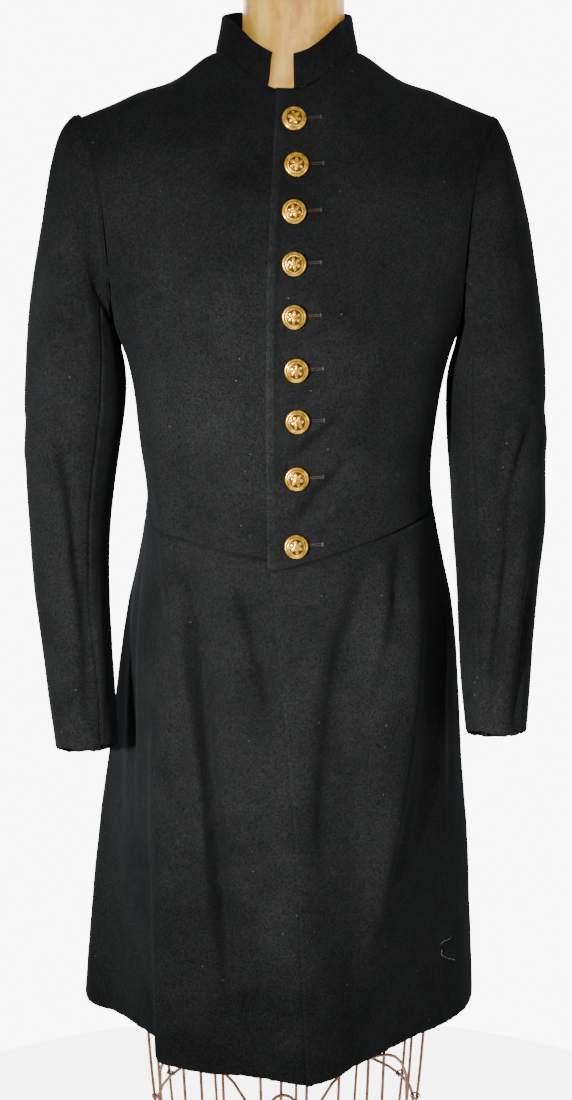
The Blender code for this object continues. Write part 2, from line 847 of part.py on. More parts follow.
def form_reach(z, side, ease):
    """How far out the form is at height z: its side, its arm stump, or its shoulder."""
    if z <= CHEST:
        side_x = half_width(side, z) - ease
        return side_x if z <= 900 * MM else min(side_x, ARMHOLE_LOW_X - 8 * MM)
    low, high = 50 * MM, 200 * MM
    for _ in range(30):
        middle = (low + high) / 2
        if ridge(middle) - CLOTH - FORM_GAP > z:
            low = middle
        else:
            high = middle
    return min(low, armhole_x(z) - 8 * MM, half_width(side, z) - ease)


def form_torso():
    """Linen-covered torso and neck block, closed by flat ends."""
    heights = [FORM_BOTTOM, 640 * MM, 690 * MM, 740 * MM, 780 * MM, 820 * MM, 870 * MM, 895 * MM, 925 * MM]
    heights += [960 * MM, 1000 * MM, 1040 * MM, 1080 * MM, 1105 * MM, 1120 * MM, 1132 * MM]
    heights += [1142 * MM, 1150 * MM, 1158 * MM, 1166 * MM]
    count = 14
    rings = [form_loop(z, count) for z in heights]
    neck = ((1181, 1.07), (1195, 1.01), (1215, 1.0), (FORM_TOP / MM - 3, 0.99), (FORM_TOP / MM, 0.95))
    for height, scale in neck:
        ring = []
        for index in range(2 * count):
            turn = math.pi * (index / count - 0.5)
            x = FORM_NECK_HALF * scale * math.sin(turn)
            reach = FORM_NECK_FRONT if index < count else FORM_NECK_BACK
            y = FORM_NECK_Y - reach * scale * math.cos(turn)
            ring.append(Vector((FORM_NECK_X + CENTRE_X + x, y, height * MM)))
        rings.append(ring)
    return closed_loft("form_torso", rings, plain_material("linen", LINEN, 0.8))


def closed_loft(name, rings, material):
    """A solid through closed rings of equal count, with flat ends, from the lowest ring up."""
    mesh = bmesh.new()
    loops = [[mesh.verts.new(point) for point in ring] for ring in rings]
    for low, high in zip(loops, loops[1:]):
        for index, a in enumerate(low):
            after = (index + 1) % len(low)
            mesh.faces.new((a, low[after], high[after], high[index]))
    mesh.faces.new(list(reversed(loops[0])))
    mesh.faces.new(loops[-1])
    bmesh.ops.recalc_face_normals(mesh, faces=mesh.faces)
    data = bpy.data.meshes.new(name)
    mesh.to_mesh(data)
    mesh.free()
    data.shade_smooth()
    data.set_sharp_from_angle(angle=math.radians(50))
    return add_object(name, data, material)


def hip_board():
    """Wooden board under the torso, which the wires hang from."""
    outline = form_loop(FORM_BOTTOM, 14)
    centre = sum(outline, Vector()) / len(outline)
    ring = [point + (centre - point).normalized() * BOARD_INSET for point in outline]
    top = FORM_BOTTOM - TOUCH
    rings = []
    for z in (top - BOARD_HEIGHT, top):
        rings.append([Vector((point.x, point.y, z)) for point in ring])
    return closed_loft("hip_board", rings, plain_material("wood", WOOD, 0.5))


def cage_point(degrees, z, inset=0.0):
    turn = math.radians(degrees)
    radius = column(CAGE_RADII, "height", "radius", z) - inset
    return Vector((CAGE_X + radius * math.sin(turn), CAGE_Y - radius * math.cos(turn), z))


def wire(name, points, closed=False):
    """A wire through the points, with flat ends unless it is a hoop."""
    data = bpy.data.curves.new(name, "CURVE")
    data.dimensions = "3D"
    data.bevel_depth = WIRE
    data.bevel_resolution = 1
    data.use_fill_caps = not closed
    spline = data.splines.new("POLY")
    spline.points.add(len(points) - 1)
    for target, point in zip(spline.points, points):
        target.co = (*point, 1)
    spline.use_cyclic_u = closed
    obj = bpy.data.objects.new(name, data)
    bpy.data.collections[COLLECTION].objects.link(obj)
    data.materials.append(plain_material("rusted_wire", RUST, 0.75, 0.5))
    return obj


def cage():
    """Upright wires outside level hoops, with small arches between the wires in front."""
    top = FORM_BOTTOM - BOARD_HEIGHT - 2 * TOUCH
    low = BASE_HEIGHT + TOUCH
    for number, degrees in enumerate(UPRIGHTS, 1):
        heights = [low + (top - low) * step / 6 for step in range(7)]
        wire(f"upright_{number}", [cage_point(degrees, z) for z in heights])
    for number, row in enumerate(HOOPS, 1):
        turns = [360 * step / 32 for step in range(32)]
        wire(f"hoop_{number}", [cage_point(turn, row.height, HOOP_INSET) for turn in turns], True)
    for arch in ARCHES:
        points = []
        for step in range(13):
            share = step / 6 - 1
            rise = math.sqrt(max(1 - abs(share) ** 2.4, 0))
            z = ARCH_FOOT + (arch.top * MM - ARCH_FOOT) * rise
            turn = arch.start + (arch.end - arch.start) * step / 12
            points.append(cage_point(turn, z, -ARCH_OUTSET))
        wire(arch.name, points)


def base_ring():
    """Flat iron ring that the wires stand on."""
    outer, inner = BASE_RADIUS + BASE_WIDTH / 2, BASE_RADIUS - BASE_WIDTH / 2
    profile = [(outer, 0, BASE_HEIGHT), (outer, 0, 0), (inner, 0, 0), (inner, 0, BASE_HEIGHT)]
    mesh = bpy.data.meshes.new("base_ring")
    mesh.from_pydata(profile, [(0, 1), (1, 2), (2, 3), (3, 0)], [])
    obj = add_object("base_ring", mesh, plain_material("rusted_wire", RUST, 0.75, 0.5))
    obj.matrix_world = Matrix.Translation((CAGE_X, CAGE_Y, 0))
    screw = obj.modifiers.new("Turn", "SCREW")
    screw.steps = screw.render_steps = 36
    screw.use_merge_vertices = True
    screw.merge_threshold = 0.00001
    return obj


def main():
    for obj in list(bpy.data.objects):
        bpy.data.objects.remove(obj, do_unlink=True)
    bpy.context.scene.collection.children.link(bpy.data.collections.new(COLLECTION))
    for side in "RL":
        cloth_wall(f"forepart_{side}", forepart_rows(side), Vector((0, 0, 0.9)))
        cloth_wall(f"side_body_{side}", side_body_rows(side), Vector((0, 0, 0.85)))
        cloth_wall(f"back_{side}", back_rows(side), Vector((0, 0, 0.85)))
        cloth_wall(f"skirt_{side}", skirt_rows(side), Vector((0, 0, 0.5)))
        sleeve_panel("top_sleeve", side, TOP_SLEEVE, 12)
        sleeve_panel("under_sleeve", side, UNDER_SLEEVE, 7)
    cloth_wall("collar", collar_rows(), Vector((0, 0, 1.2)))
    buttons()
    form_torso()
    hip_board()
    cage()
    base_ring()


main()
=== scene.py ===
"""Finish for a frock coat on a limbless dress form: cloth, sewing, buttons, form, wires and light."""
import collections
import json
import math
import random

import bmesh
import bpy
import numpy as np
from mathutils import Matrix, Vector, noise
from mathutils.bvhtree import BVHTree

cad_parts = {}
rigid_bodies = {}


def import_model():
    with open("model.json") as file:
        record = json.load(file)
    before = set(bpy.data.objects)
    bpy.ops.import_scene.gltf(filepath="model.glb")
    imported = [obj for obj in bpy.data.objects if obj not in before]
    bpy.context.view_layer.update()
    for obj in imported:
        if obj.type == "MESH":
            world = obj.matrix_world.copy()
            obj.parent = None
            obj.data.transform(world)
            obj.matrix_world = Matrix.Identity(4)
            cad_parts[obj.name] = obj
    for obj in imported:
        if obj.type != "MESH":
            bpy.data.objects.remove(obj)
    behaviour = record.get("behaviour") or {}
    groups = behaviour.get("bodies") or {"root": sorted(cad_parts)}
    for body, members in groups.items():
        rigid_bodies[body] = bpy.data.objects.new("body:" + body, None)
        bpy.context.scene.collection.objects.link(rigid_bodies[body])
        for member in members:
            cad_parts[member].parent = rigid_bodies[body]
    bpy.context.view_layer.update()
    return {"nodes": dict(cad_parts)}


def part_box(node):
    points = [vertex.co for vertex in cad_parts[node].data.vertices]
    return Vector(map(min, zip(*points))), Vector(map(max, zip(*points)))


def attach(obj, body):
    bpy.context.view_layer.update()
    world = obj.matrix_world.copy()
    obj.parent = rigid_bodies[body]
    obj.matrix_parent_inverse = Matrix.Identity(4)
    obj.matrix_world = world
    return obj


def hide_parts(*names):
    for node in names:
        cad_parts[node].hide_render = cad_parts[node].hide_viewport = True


for old in list(bpy.data.objects):
    bpy.data.objects.remove(old, do_unlink=True)
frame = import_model()
MM = 0.001

# Cloth shells
CLOTH = 1.8 * MM
WELD = 0.01 * MM
RIM_TOLERANCE = 0.002 * MM
STEP = 4 * MM
EDGE_STEPS = (0.6, 1.3, 2.2, 3.4, 4.4, 5.4, 7.0)
TURNING_STEPS = (2.6, 1.8, 0.9)
FOOT_STEPS = (7.0, 2.6, 1.0)
TURNING_SLOPE = 2.2
FOOT_SINK = 0.3 * MM
LAP_FREE = 22 * MM
COLLAR_GAP_TOP = 5.3 * MM
COLLAR_GAP_FOOT = 9.5 * MM
COLLAR_EASE = 80 * MM
SKIRT_REACH = 8 * MM
LAP_REACH = 4.2 * MM
CUFF_DROP = 10.5 * MM
# Free edges are lightened in the wool's colour: by wear, and along the left front's lap edge mostly by a
# painted highlight of the lit rolled rim.
WEAR_AND_HIGHLIGHT_WIDTH = 6 * MM
LAP_WEAR_AND_HIGHLIGHT = 0.75
PLAIN_WEAR = 0.22
STITCH_INSET = 4.4 * MM
GROOVE_DEPTH = 0.32 * MM
GROOVE_WIDTH = 0.9 * MM
HEM_WAVE = 1.3 * MM

# Camera
CAMERA_PLACE = (-3 * MM, -2200 * MM, 1178 * MM)
CAMERA_TILT = 11.7
CAMERA_LENS = 77.57
SENSOR = 36

# Studio
FLOOR_RADIUS = 0.6
FLOOR_GLOW = 4.2
AMBIENT = 0.85
BACKDROP = 9

# Buttons and buttonholes
BUTTON_RADIUS = 11.0 * MM
BUTTON_DOME = 5.2 * MM
HOLE_START = 3 * MM
HOLE_END = 22.8 * MM
HOLE_TILT = 0.05
HOLE_STITCH = 0.8 * MM
LINT_RADIUS = 0.35 * MM

COAT = "coat"
RIGHT_SLEEVE = "right sleeve"
LEFT_SLEEVE = "left sleeve"

# A soft ridge (+) or trough (-) on one face of the coat, in mm: its depth, its widths to the left and
# to the right of the way it runs, and the places it passes, as x (or y on a side) and z. The rows are
# grouped by the cloth and the face that they lie on
Crease = collections.namedtuple("Crease", "cloth face depth left right places")
CREASES = tuple(Crease(cloth, face, *rest) for cloth, face, rows in (
    (COAT, "front", (
        (8.5, 8, 7, ((-119, 826), (-117, 805), (-112, 749), (-106, 698), (-98, 646), (-90, 592),
                     (-83, 538), (-77, 450), (-68, 330))),
        (-9.5, 4.5, 6, ((-106, 800), (-101, 764), (-91, 724), (-82, 682), (-79, 629), (-74, 574),
                        (-68, 510), (-61, 430), (-50, 300))),
        (2.6, 12, 12, ((-62, 742), (-56, 690), (-44, 640), (-30, 590))),
        (-6.5, 8, 6, ((-46, 736), (-44, 724), (-34, 680), (-22, 634), (-13, 575))),
        (-8.0, 12, 12, ((80, 768), (62, 693), (50, 654), (42, 610), (37, 556), (33, 488), (28, 400))),
        (4.2, 7, 7, ((84, 748), (85, 691), (77, 647), (66, 592))),
        (-4.0, 7, 7, ((101, 762), (99, 708), (92, 645))),
        (6.5, 8, 9, ((112, 760), (114, 700), (113, 659), (110, 605), (104, 550), (95, 496), (84, 437),
                     (74, 350))),
        (-4.2, 8, 8, ((128, 750), (130, 653), (130, 577), (124, 500), (112, 420))),
        (2.4, 12, 12, ((-58, 640), (-45, 541), (-27, 478), (-18, 400))),
        (-2.6, 9, 9, ((-63, 500), (-56, 402), (-48, 320))),
        (2.0, 10, 10, ((-34, 322), (-12, 300), (10, 282))),
        (0.6, 1.6, 2.2, ((-131, 590), (-131, 525), (-129, 470), (-127, 416), (-125, 351), (-124, 262),
                         (-124, 200))),
        (2.2, 7, 9, ((-121, 850), (-118, 800), (-114, 758))),
        (-2.4, 6, 6, ((-103, 836), (-100, 790), (-98, 760))),
        (2.0, 14, 10, ((96, 1000), (82, 930), (66, 872), (46, 815))),
        (-7.0, 6, 6, ((0, 764), (14, 780), (27, 796), (45, 815), (60, 834))),
        (2.0, 5, 5, ((6, 748), (28, 770), (56, 798))),
        (1.8, 6, 6, ((-10, 794), (12, 806), (36, 822))),
        (-4.4, 3.5, 4, ((-9, 1121), (-22, 1132), (-44, 1147))),
        (2.6, 5, 5, ((-10, 1110), (-28, 1120), (-52, 1138))),
        (2.6, 2.4, 6, ((-9, 1140), (-11, 1060), (-14, 960), (-14, 860), (-12, 742))),
        (1.6, 1.6, 3, ((-14, 743), (2, 746), (18, 750))),
        (-1.8, 4, 4, ((4, 1139), (25, 1145), (46, 1156))),
        (1.2, 5, 5, ((8, 1112), (34, 1122), (62, 1134))),
        (-2.6, 3, 4, ((-11, 1074), (4, 1070), (24, 1074))),
        (2.2, 5, 5, ((-9, 1058), (10, 1062), (46, 1070))),
        (-2.2, 3, 4, ((-9, 1030), (6, 1026), (24, 1028))),
        (-3.2, 4, 5, ((-8, 985), (14, 986), (37, 992), (66, 1000))),
        (2.4, 5, 5, ((-9, 970), (12, 974), (44, 984))),
        (-3.0, 3.5, 4, ((-9, 939), (9, 932), (28, 939), (48, 948))),
        (2.6, 5, 5, ((-10, 928), (10, 922), (38, 932))),
        (-4.0, 4, 5, ((-10, 894), (8, 885), (34, 893))),
        (2.8, 5, 5, ((-10, 881), (10, 875), (42, 886))),
        (-4.2, 5, 5, ((-10, 832), (8, 832), (30, 850), (50, 868))),
        (2.8, 5, 5, ((-10, 848), (8, 845), (30, 863), (44, 872))),
        (1.4, 22, 30, ((-130, 955), (-79, 960), (-20, 962))),
    )),
    (COAT, "left", (
        (6.5, 90, 90, ((0, 820), (0, 500), (0, 120))),
    )),
    (COAT, "back", (
        (-2.6, 8, 8, ((60, 864), (30, 835), (8, 822))),
        (-2.4, 8, 8, ((-8, 826), (-34, 842), (-64, 876))),
        (2.4, 8, 8, ((66, 838), (34, 812), (6, 800))),
        (2.2, 8, 8, ((-10, 803), (-40, 818), (-70, 848))),
        (-1.8, 12, 12, ((92, 1014), (50, 990), (6, 985), (-40, 992), (-88, 1016))),
        (-4.6, 7, 9, ((108, 720), (118, 610), (124, 520), (126, 400))),
        (4.2, 9, 8, ((88, 730), (94, 610), (98, 500), (101, 380))),
        (-3.4, 8, 8, ((66, 700), (70, 600), (70, 500), (66, 420))),
        (-4.4, 9, 7, ((-104, 715), (-112, 610), (-118, 520), (-120, 390))),
        (4.0, 8, 9, ((-84, 725), (-90, 610), (-94, 500), (-98, 370))),
        (-3.0, 8, 8, ((-60, 690), (-64, 600), (-66, 510), (-60, 430))),
    )),
    (COAT, "right", (
        (-4.8, 8, 9, ((30, 745), (34, 650), (30, 560), (26, 450))),
        (4.2, 9, 8, ((60, 745), (66, 640), (70, 540), (72, 420))),
        (-3.6, 8, 8, ((-32, 745), (-44, 660), (-56, 570), (-64, 460))),
    )),
    (COAT, "left", (
        (-4.8, 9, 8, ((24, 745), (28, 650), (24, 560), (20, 440))),
        (4.2, 8, 9, ((56, 745), (62, 640), (66, 540), (68, 410))),
        (3.8, 8, 8, ((-34, 750), (-46, 660), (-52, 570), (-56, 450))),
    )),
    (RIGHT_SLEEVE, "right", (
        (3.4, 60, 60, ((0, 1300), (10, 900), (-40, 360))),
        (3.5, 40, 40, ((-30, 1100), (5, 1092), (40, 1100))),
    )),
    (RIGHT_SLEEVE, "front", (
        (4.2, 5, 9, ((-228, 905), (-220, 840), (-211, 798), (-205, 745), (-199, 693), (-192, 620))),
        (-4.2, 7, 5, ((-217, 860), (-204, 798), (-197, 745), (-190, 680))),
        (-3.8, 7, 6, ((-188, 725), (-184, 650), (-181, 580))),
        (2.2, 6, 6, ((-177, 720), (-174, 639), (-172, 575))),
        (2.6, 12, 12, ((-194, 1080), (-204, 990), (-208, 930), (-210, 870))),
        (-2.8, 7, 8, ((-180, 1086), (-174, 1020), (-168, 960), (-165, 890))),
    )),
    (RIGHT_SLEEVE, "back", (
        (-3.2, 7, 7, ((-178, 904), (-196, 872), (-212, 858))),
        (2.8, 7, 7, ((-180, 874), (-198, 846), (-213, 834))),
        (-2.6, 7, 7, ((-206, 804), (-200, 740), (-192, 660))),
    )),
    (RIGHT_SLEEVE, "left", (
        (3.5, 45, 45, ((-30, 990), (-10, 950), (0, 900))),
    )),
    (RIGHT_SLEEVE, "right", (
        (-1.2, 8, 8, ((-32, 864), (6, 842), (42, 850))),
        (1.0, 8, 8, ((-28, 828), (8, 812), (40, 822))),
        (-2.6, 7, 7, ((32, 784), (2, 720), (-30, 640))),
    )),
    (LEFT_SLEEVE, "left", (
        (3.0, 60, 60, ((0, 860), (-20, 640), (-40, 380))),
    )),
    (LEFT_SLEEVE, "front", (
        (4.2, 4, 5, ((182, 869), (206, 874), (222, 871), (230, 872))),
        (-4.4, 5, 6, ((186, 859), (208, 864), (230, 859))),
        (-3.8, 5, 6, ((203, 862), (196, 826), (191, 776))),
        (-4.6, 5, 5, ((228, 860), (214, 826), (205, 789), (199, 738))),
        (2.8, 6, 6, ((217, 850), (204, 812), (198, 774))),
        (-7.0, 4, 5, ((206, 776), (200, 719), (192, 668), (183, 625), (173, 575))),
        (4.6, 7, 7, ((219, 790), (217, 764), (211, 706), (203, 650), (193, 592))),
        (-4.0, 4, 5, ((221, 720), (214, 648), (208, 604), (206, 566))),
        (1.5, 3, 4, ((162, 650), (173, 661), (186, 663), (208, 667))),
        (2.6, 8, 8, ((185, 1100), (196, 1054), (204, 1000), (209, 940))),
        (-2.8, 8, 8, ((171, 1040), (184, 950), (191, 880))),
    )),
    (LEFT_SLEEVE, "back", (
        (-3.4, 7, 7, ((178, 894), (196, 868), (212, 860))),
        (2.8, 7, 7, ((180, 866), (198, 842), (213, 836))),
        (-2.8, 7, 7, ((208, 806), (200, 730), (192, 650))),
    )),
    (LEFT_SLEEVE, "left", (
        (-1.2, 8, 8, ((-36, 874), (0, 858), (40, 862))),
        (1.0, 8, 8, ((-32, 844), (4, 828), (38, 838))),
        (-2.6, 7, 7, ((36, 794), (8, 730), (-24, 650))),
    )),
) for rest in rows)
# Each face: the axis across it, and the axis that it looks along with its sign
FACES = {"front": (0, 1, -1), "back": (0, 1, 1), "left": (1, 0, 1), "right": (1, 0, -1)}

# Each panel of cloth: how it is held, and its edges that are sewn to a neighbour, stitched down
# near their rim, or a little ragged
Panel = collections.namedtuple("Panel", "cloth held sewn stitched ragged")
PANELS = {
    "forepart_R": Panel(COAT, "draped", ("back", "bottom", "top"), ("front",), ()),
    "forepart_L": Panel(COAT, "draped", ("back", "bottom", "top"), ("front",), ()),
    "side_body_R": Panel(COAT, "draped", ("front", "back", "bottom", "top"), (), ()),
    "side_body_L": Panel(COAT, "draped", ("front", "back", "bottom", "top"), (), ()),
    "back_R": Panel(COAT, "hung", ("front", "back", "top"), (), ("bottom",)),
    "back_L": Panel(COAT, "hung", ("front", "back", "top"), (), ("bottom",)),
    "skirt_R": Panel(COAT, "hung", ("top",), ("front",), ("bottom",)),
    "skirt_L": Panel(COAT, "hung", ("top",), ("front",), ("bottom",)),
    "top_sleeve_R": Panel(RIGHT_SLEEVE, "hung", ("front", "back", "top"), (), ("bottom",)),
    "under_sleeve_R": Panel(RIGHT_SLEEVE, "hung", ("front", "back", "top"), (), ("bottom",)),
    "top_sleeve_L": Panel(LEFT_SLEEVE, "hung", ("front", "back", "top"), (), ("bottom",)),
    "under_sleeve_L": Panel(LEFT_SLEEVE, "hung", ("front", "back", "top"), (), ("bottom",)),
    "collar": Panel(COAT, "draped", ("bottom",), ("top", "front", "back"), ()),
}
EDGES = {"front": (1, 1), "back": (1, -1), "bottom": (0, 1), "top": (0, -1)}

# How far an edge rolls inwards, over what width, and how deep its turning then goes, in mm
Roll = collections.namedtuple("Roll", "depth width sink")
SEWN_ROLLS = {"front": Roll(1.2, 1.6, 4.6), "back": Roll(1.2, 1.6, 4.6), "bottom": Roll(0.4, 0.9, 4.6),
              "top": Roll(0.9, 1.3, 1.4)}
WAIST_ROLL = Roll(2.0, 1.5, 3.4)
FREE_ROLL = Roll(0.6, 1.4, 0)


def flood(start, faces):
    """The faces joined to one of them by edges."""
    found, waiting = {start}, [start]
    while waiting:
        for edge in waiting.pop().edges:
            for face in edge.link_faces:
                if face in faces and face not in found:
                    found.add(face)
                    waiting.append(face)
    return found


def outer_face(mesh):
    """The faces of a cloth wall's outer side, once its rim is off."""
    rims = [edge for edge in mesh.edges if abs(edge.calc_length() - CLOTH) < RIM_TOLERANCE]
    bmesh.ops.delete(mesh, geom=list({face for edge in rims for face in edge.link_faces}), context="FACES")
    centre = sum((vert.co for vert in mesh.verts), Vector()) / len(mesh.verts)
    left, best, best_score = set(mesh.faces), None, -math.inf
    while left:
        island = flood(next(iter(left)), left)
        left -= island
        score = sum(face.normal.dot(face.calc_center_median() - centre) * face.calc_area() for face in island)
        if score > best_score:
            best, best_score = island, score
    return best


def boundary_loop(faces):
    """The points round the edge of a sheet of faces, in order."""
    after = {}
    for face in faces:
        for loop in face.loops:
            if sum(other in faces for other in loop.edge.link_faces) == 1:
                after[loop.vert] = loop.link_loop_next.vert
    start = next(iter(after))
    points = [start]
    while after[points[-1]] is not start:
        points.append(after[points[-1]])
    return points


def corner_walk(loop, count):
    """The loop turned to start at a corner of the grid, with the grid's size along it and across."""
    half = len(loop) / 2 + 2
    root = math.sqrt(half * half - 4 * count)
    sizes = (round((half + root) / 2), round((half - root) / 2))

    def turning(index):
        here = loop[index % len(loop)].co
        before, after = loop[index - 1].co if index else loop[-1].co, loop[(index + 1) % len(loop)].co
        return (here - before).angle(after - here, 0.0)

    turns = [turning(index) for index in range(len(loop))]
    best = None
    for along, across in (sizes, sizes[::-1]):
        for start in range(len(loop)):
            corners = (start, start + along - 1, start + along + across - 2, start + 2 * along + across - 3)
            score = sum(turns[corner % len(loop)] for corner in corners)
            if best is None or score > best[0]:
                best = (score, start, along, across)
    _, start, along, across = best
    return loop[start:] + loop[:start], along, across


def node_grid(name):
    """A cloth wall's outer side as rows of points going up, each from the front or middle outwards."""
    mesh = bmesh.new()
    mesh.from_mesh(frame["nodes"][name].data)
    bmesh.ops.remove_doubles(mesh, verts=mesh.verts, dist=WELD)
    faces = outer_face(mesh)
    verts = {vert for face in faces for vert in face.verts}
    near = {vert: {edge.other_vert(vert) for edge in vert.link_edges} & verts for vert in verts}
    loop, along, across = corner_walk(boundary_loop(faces), len(verts))
    rows = [loop[:along]]
    for step in range(1, across):
        row = [loop[-step]]
        for place in range(1, along):
            (found,) = (near[rows[-1][place]] & near[row[-1]]) - set(rows[-1])
            row.append(found)
        rows.append(row)
    grid = np.array([[tuple(vert.co) for vert in row] for row in rows])
    mesh.free()
    return facing_up(grid)


def facing_up(grid):
    """The grid turned so that its rows go up and start at the front, or at the middle of the back."""
    if abs(np.diff(grid[..., 2], axis=0)).mean() < abs(np.diff(grid[..., 2], axis=1)).mean():
        grid = grid.transpose(1, 0, 2)
    if grid[0, :, 2].mean() > grid[-1, :, 2].mean():
        grid = grid[::-1]
    first, last = grid[:, 0].mean(axis=0), grid[:, -1].mean(axis=0)
    if first[1] > last[1]:
        grid = grid[:, ::-1]
    return grid


def knot_slope(lengths, knot):
    """Weights of the points round a knot that give a curve's slope there, from its cells' lengths."""
    slope = np.zeros(len(lengths) + 1)
    cells = [cell for cell in (knot - 1, knot) if 0 <= cell < len(lengths)]
    total = sum(1 / lengths[cell] for cell in cells)
    for cell in cells:
        share = (1 / lengths[cell]) / total / lengths[cell]
        slope[cell + 1] += share
        slope[cell] -= share
    return slope


def spline_weights(lengths, places):
    """Weights that turn the points of a curve with cells of these lengths into smooth ones at places."""
    slopes = [knot_slope(lengths, knot) for knot in range(len(lengths) + 1)]
    weights = np.zeros((len(places), len(lengths) + 1))
    for line, place in zip(weights, places):
        cell = min(int(place), len(lengths) - 1)
        t = place - cell
        line[cell] += 2 * t ** 3 - 3 * t ** 2 + 1
        line[cell + 1] += 3 * t ** 2 - 2 * t ** 3
        line += (t ** 3 - 2 * t ** 2 + t) * lengths[cell] * slopes[cell]
        line += (t ** 3 - t ** 2) * lengths[cell] * slopes[cell + 1]
    return weights


def fine_places(lengths):
    """Places along cells of these lengths: even steps, and closer ones where the edge rolls."""
    near = EDGE_STEPS[-1] * MM
    places = [0.0, float(len(lengths))]
    for cell, length in enumerate(lengths):
        steps = max(math.ceil(length / STEP), 1)
        places += [cell + step / steps for step in range(1, steps + 1)]
    places = [place for place in places if near / lengths[0] < place < len(lengths) - near / lengths[-1]]
    places += [0.0, float(len(lengths))]
    places += [inset * MM / lengths[0] for inset in EDGE_STEPS if inset * MM < lengths[0]]
    places += [len(lengths) - inset * MM / lengths[-1] for inset in EDGE_STEPS if inset * MM < lengths[-1]]
    return sorted(set(places))


def refined(grid):
    """The grid with many more points, on smooth curves through the ones it has."""
    up = np.linalg.norm(np.diff(grid, axis=0), axis=2).mean(axis=1)
    across = np.linalg.norm(np.diff(grid, axis=1), axis=2).mean(axis=0)
    rows = spline_weights(up, fine_places(up))
    columns = spline_weights(across, fine_places(across))
    return np.einsum("ri,ijk,cj->rck", rows, grid, columns)


def collar_cut_back(grid):
    """The collar with its right front drawn back from the throat, more at its foot than at its top."""
    out = grid.copy()
    for row, share in zip(range(len(grid)), np.linspace(0, 1, len(grid))):
        ends = grid[row, ::-1]
        runs = np.concatenate([[0], np.linalg.norm(np.diff(ends, axis=0), axis=1).cumsum()])
        moved = runs + (COLLAR_GAP_FOOT + (COLLAR_GAP_TOP - COLLAR_GAP_FOOT) * share) * np.maximum(
            0, 1 - runs / COLLAR_EASE)
        out[row, ::-1] = np.stack([np.interp(moved, runs, ends[:, axis]) for axis in range(3)], axis=1)
    return out


def drawn_over(grid, reach):
    """The grid with its front edge drawn further over the piece below it, by a reach for each row."""
    runs = np.linalg.norm(np.diff(grid, axis=1), axis=2).cumsum(axis=1)
    runs = np.concatenate([np.zeros_like(runs[:, :1]), runs], axis=1)
    out = grid[:, 0] - grid[:, 4]
    out /= np.linalg.norm(out, axis=1, keepdims=True)
    moved = reach[:, None] * np.exp(-runs / (45 * MM))
    return grid + out[:, None] * moved[..., None]


def grid_normals(grid):
    """Unit normals of a grid of points, pointing away from the middle of its cloth."""
    normals = np.cross(np.gradient(grid, axis=1), np.gradient(grid, axis=0))
    normals /= np.linalg.norm(normals, axis=2, keepdims=True) + 1e-12
    centre = (grid.reshape(-1, 3).min(axis=0) + grid.reshape(-1, 3).max(axis=0)) / 2
    return normals * np.sign((normals * (grid - centre)).sum())


def smooth(share):
    share = np.clip(share, 0.0, 1.0)
    return share * share * (3 - 2 * share)


def crease_height(crease, points, normals):
    """How far one crease lifts each point along its normal."""
    across, faced, sign = FACES[crease.face]
    flat, facing = points[..., (across, 2)], normals[..., faced] * sign
    places = np.array(crease.places) * MM
    lengths = np.linalg.norm(np.diff(places, axis=0), axis=1)
    total, done = lengths.sum(), 0.0
    nearest = np.full(flat.shape[:-1], np.inf)
    signed, share = np.zeros_like(nearest), np.zeros_like(nearest)
    for start, end, length in zip(places, places[1:], lengths):
        way = (end - start) / length
        offset = flat - start
        run = np.clip(offset @ way, 0, length)
        away = offset - run[..., None] * way
        distance = np.linalg.norm(away, axis=-1)
        closer = distance < nearest
        nearest = np.where(closer, distance, nearest)
        signed = np.where(closer, way[0] * offset[..., 1] - way[1] * offset[..., 0], signed)
        share = np.where(closer, (done + run) / total, share)
        done += length
    width = np.where(signed > 0, crease.left, crease.right) * MM
    height = crease.depth * MM * np.exp(-((nearest / width) ** 2))
    height *= smooth(share / 0.3) * smooth((1 - share) / 0.3)
    return height * smooth((facing - 0.05) / 0.4)


def wandering(points, size, seed):
    """Smooth uneven heights from -1 to 1 at the points."""
    shift = Vector((seed * 7.3, seed * 3.1, seed * 5.7))
    flat = points.reshape(-1, 3)
    values = [noise.noise(Vector(point) / size + shift) for point in flat]
    return np.array(values).reshape(points.shape[:-1])


def edge_first(grid, edge):
    """The grid turned so that its first line is one of its edges."""
    axis, way = EDGES[edge]
    return np.moveaxis(grid, axis, 0)[::way]


def edge_distance(grid, panel, edge):
    """Distance along the cloth from each point to the line of an edge, less than 0 on its turning."""
    turned = edge_first(grid, edge)
    runs = np.linalg.norm(np.diff(turned, axis=0), axis=2).cumsum(axis=0)
    runs = np.concatenate([np.zeros_like(runs[:1]), runs])
    line = len(TURNING_STEPS) if edge in panel.sewn else 0
    axis, way = EDGES[edge]
    return np.moveaxis((runs - runs[line])[::way], 0, axis)


def with_turnings(grid, panel):
    """The grid with a narrow turning beyond each sewn edge, but none under the front's free corner."""
    for edge in panel.sewn:
        axis, way = EDGES[edge]
        turned = edge_first(grid, edge)
        out = turned[0] - turned[4]
        out /= np.linalg.norm(out, axis=1, keepdims=True)
        if edge == "bottom" and "front" in panel.stitched:
            free = edge_distance(grid, panel, "front")[0]
            out *= (0.05 + 0.95 * smooth((free - LAP_FREE) / (10 * MM)))[:, None]
        steps = FOOT_STEPS if panel is PANELS["collar"] else TURNING_STEPS
        turning = [turned[0] + out * step * MM for step in steps]
        grid = np.moveaxis(np.concatenate([turning, turned])[::way], 0, axis)
    return grid


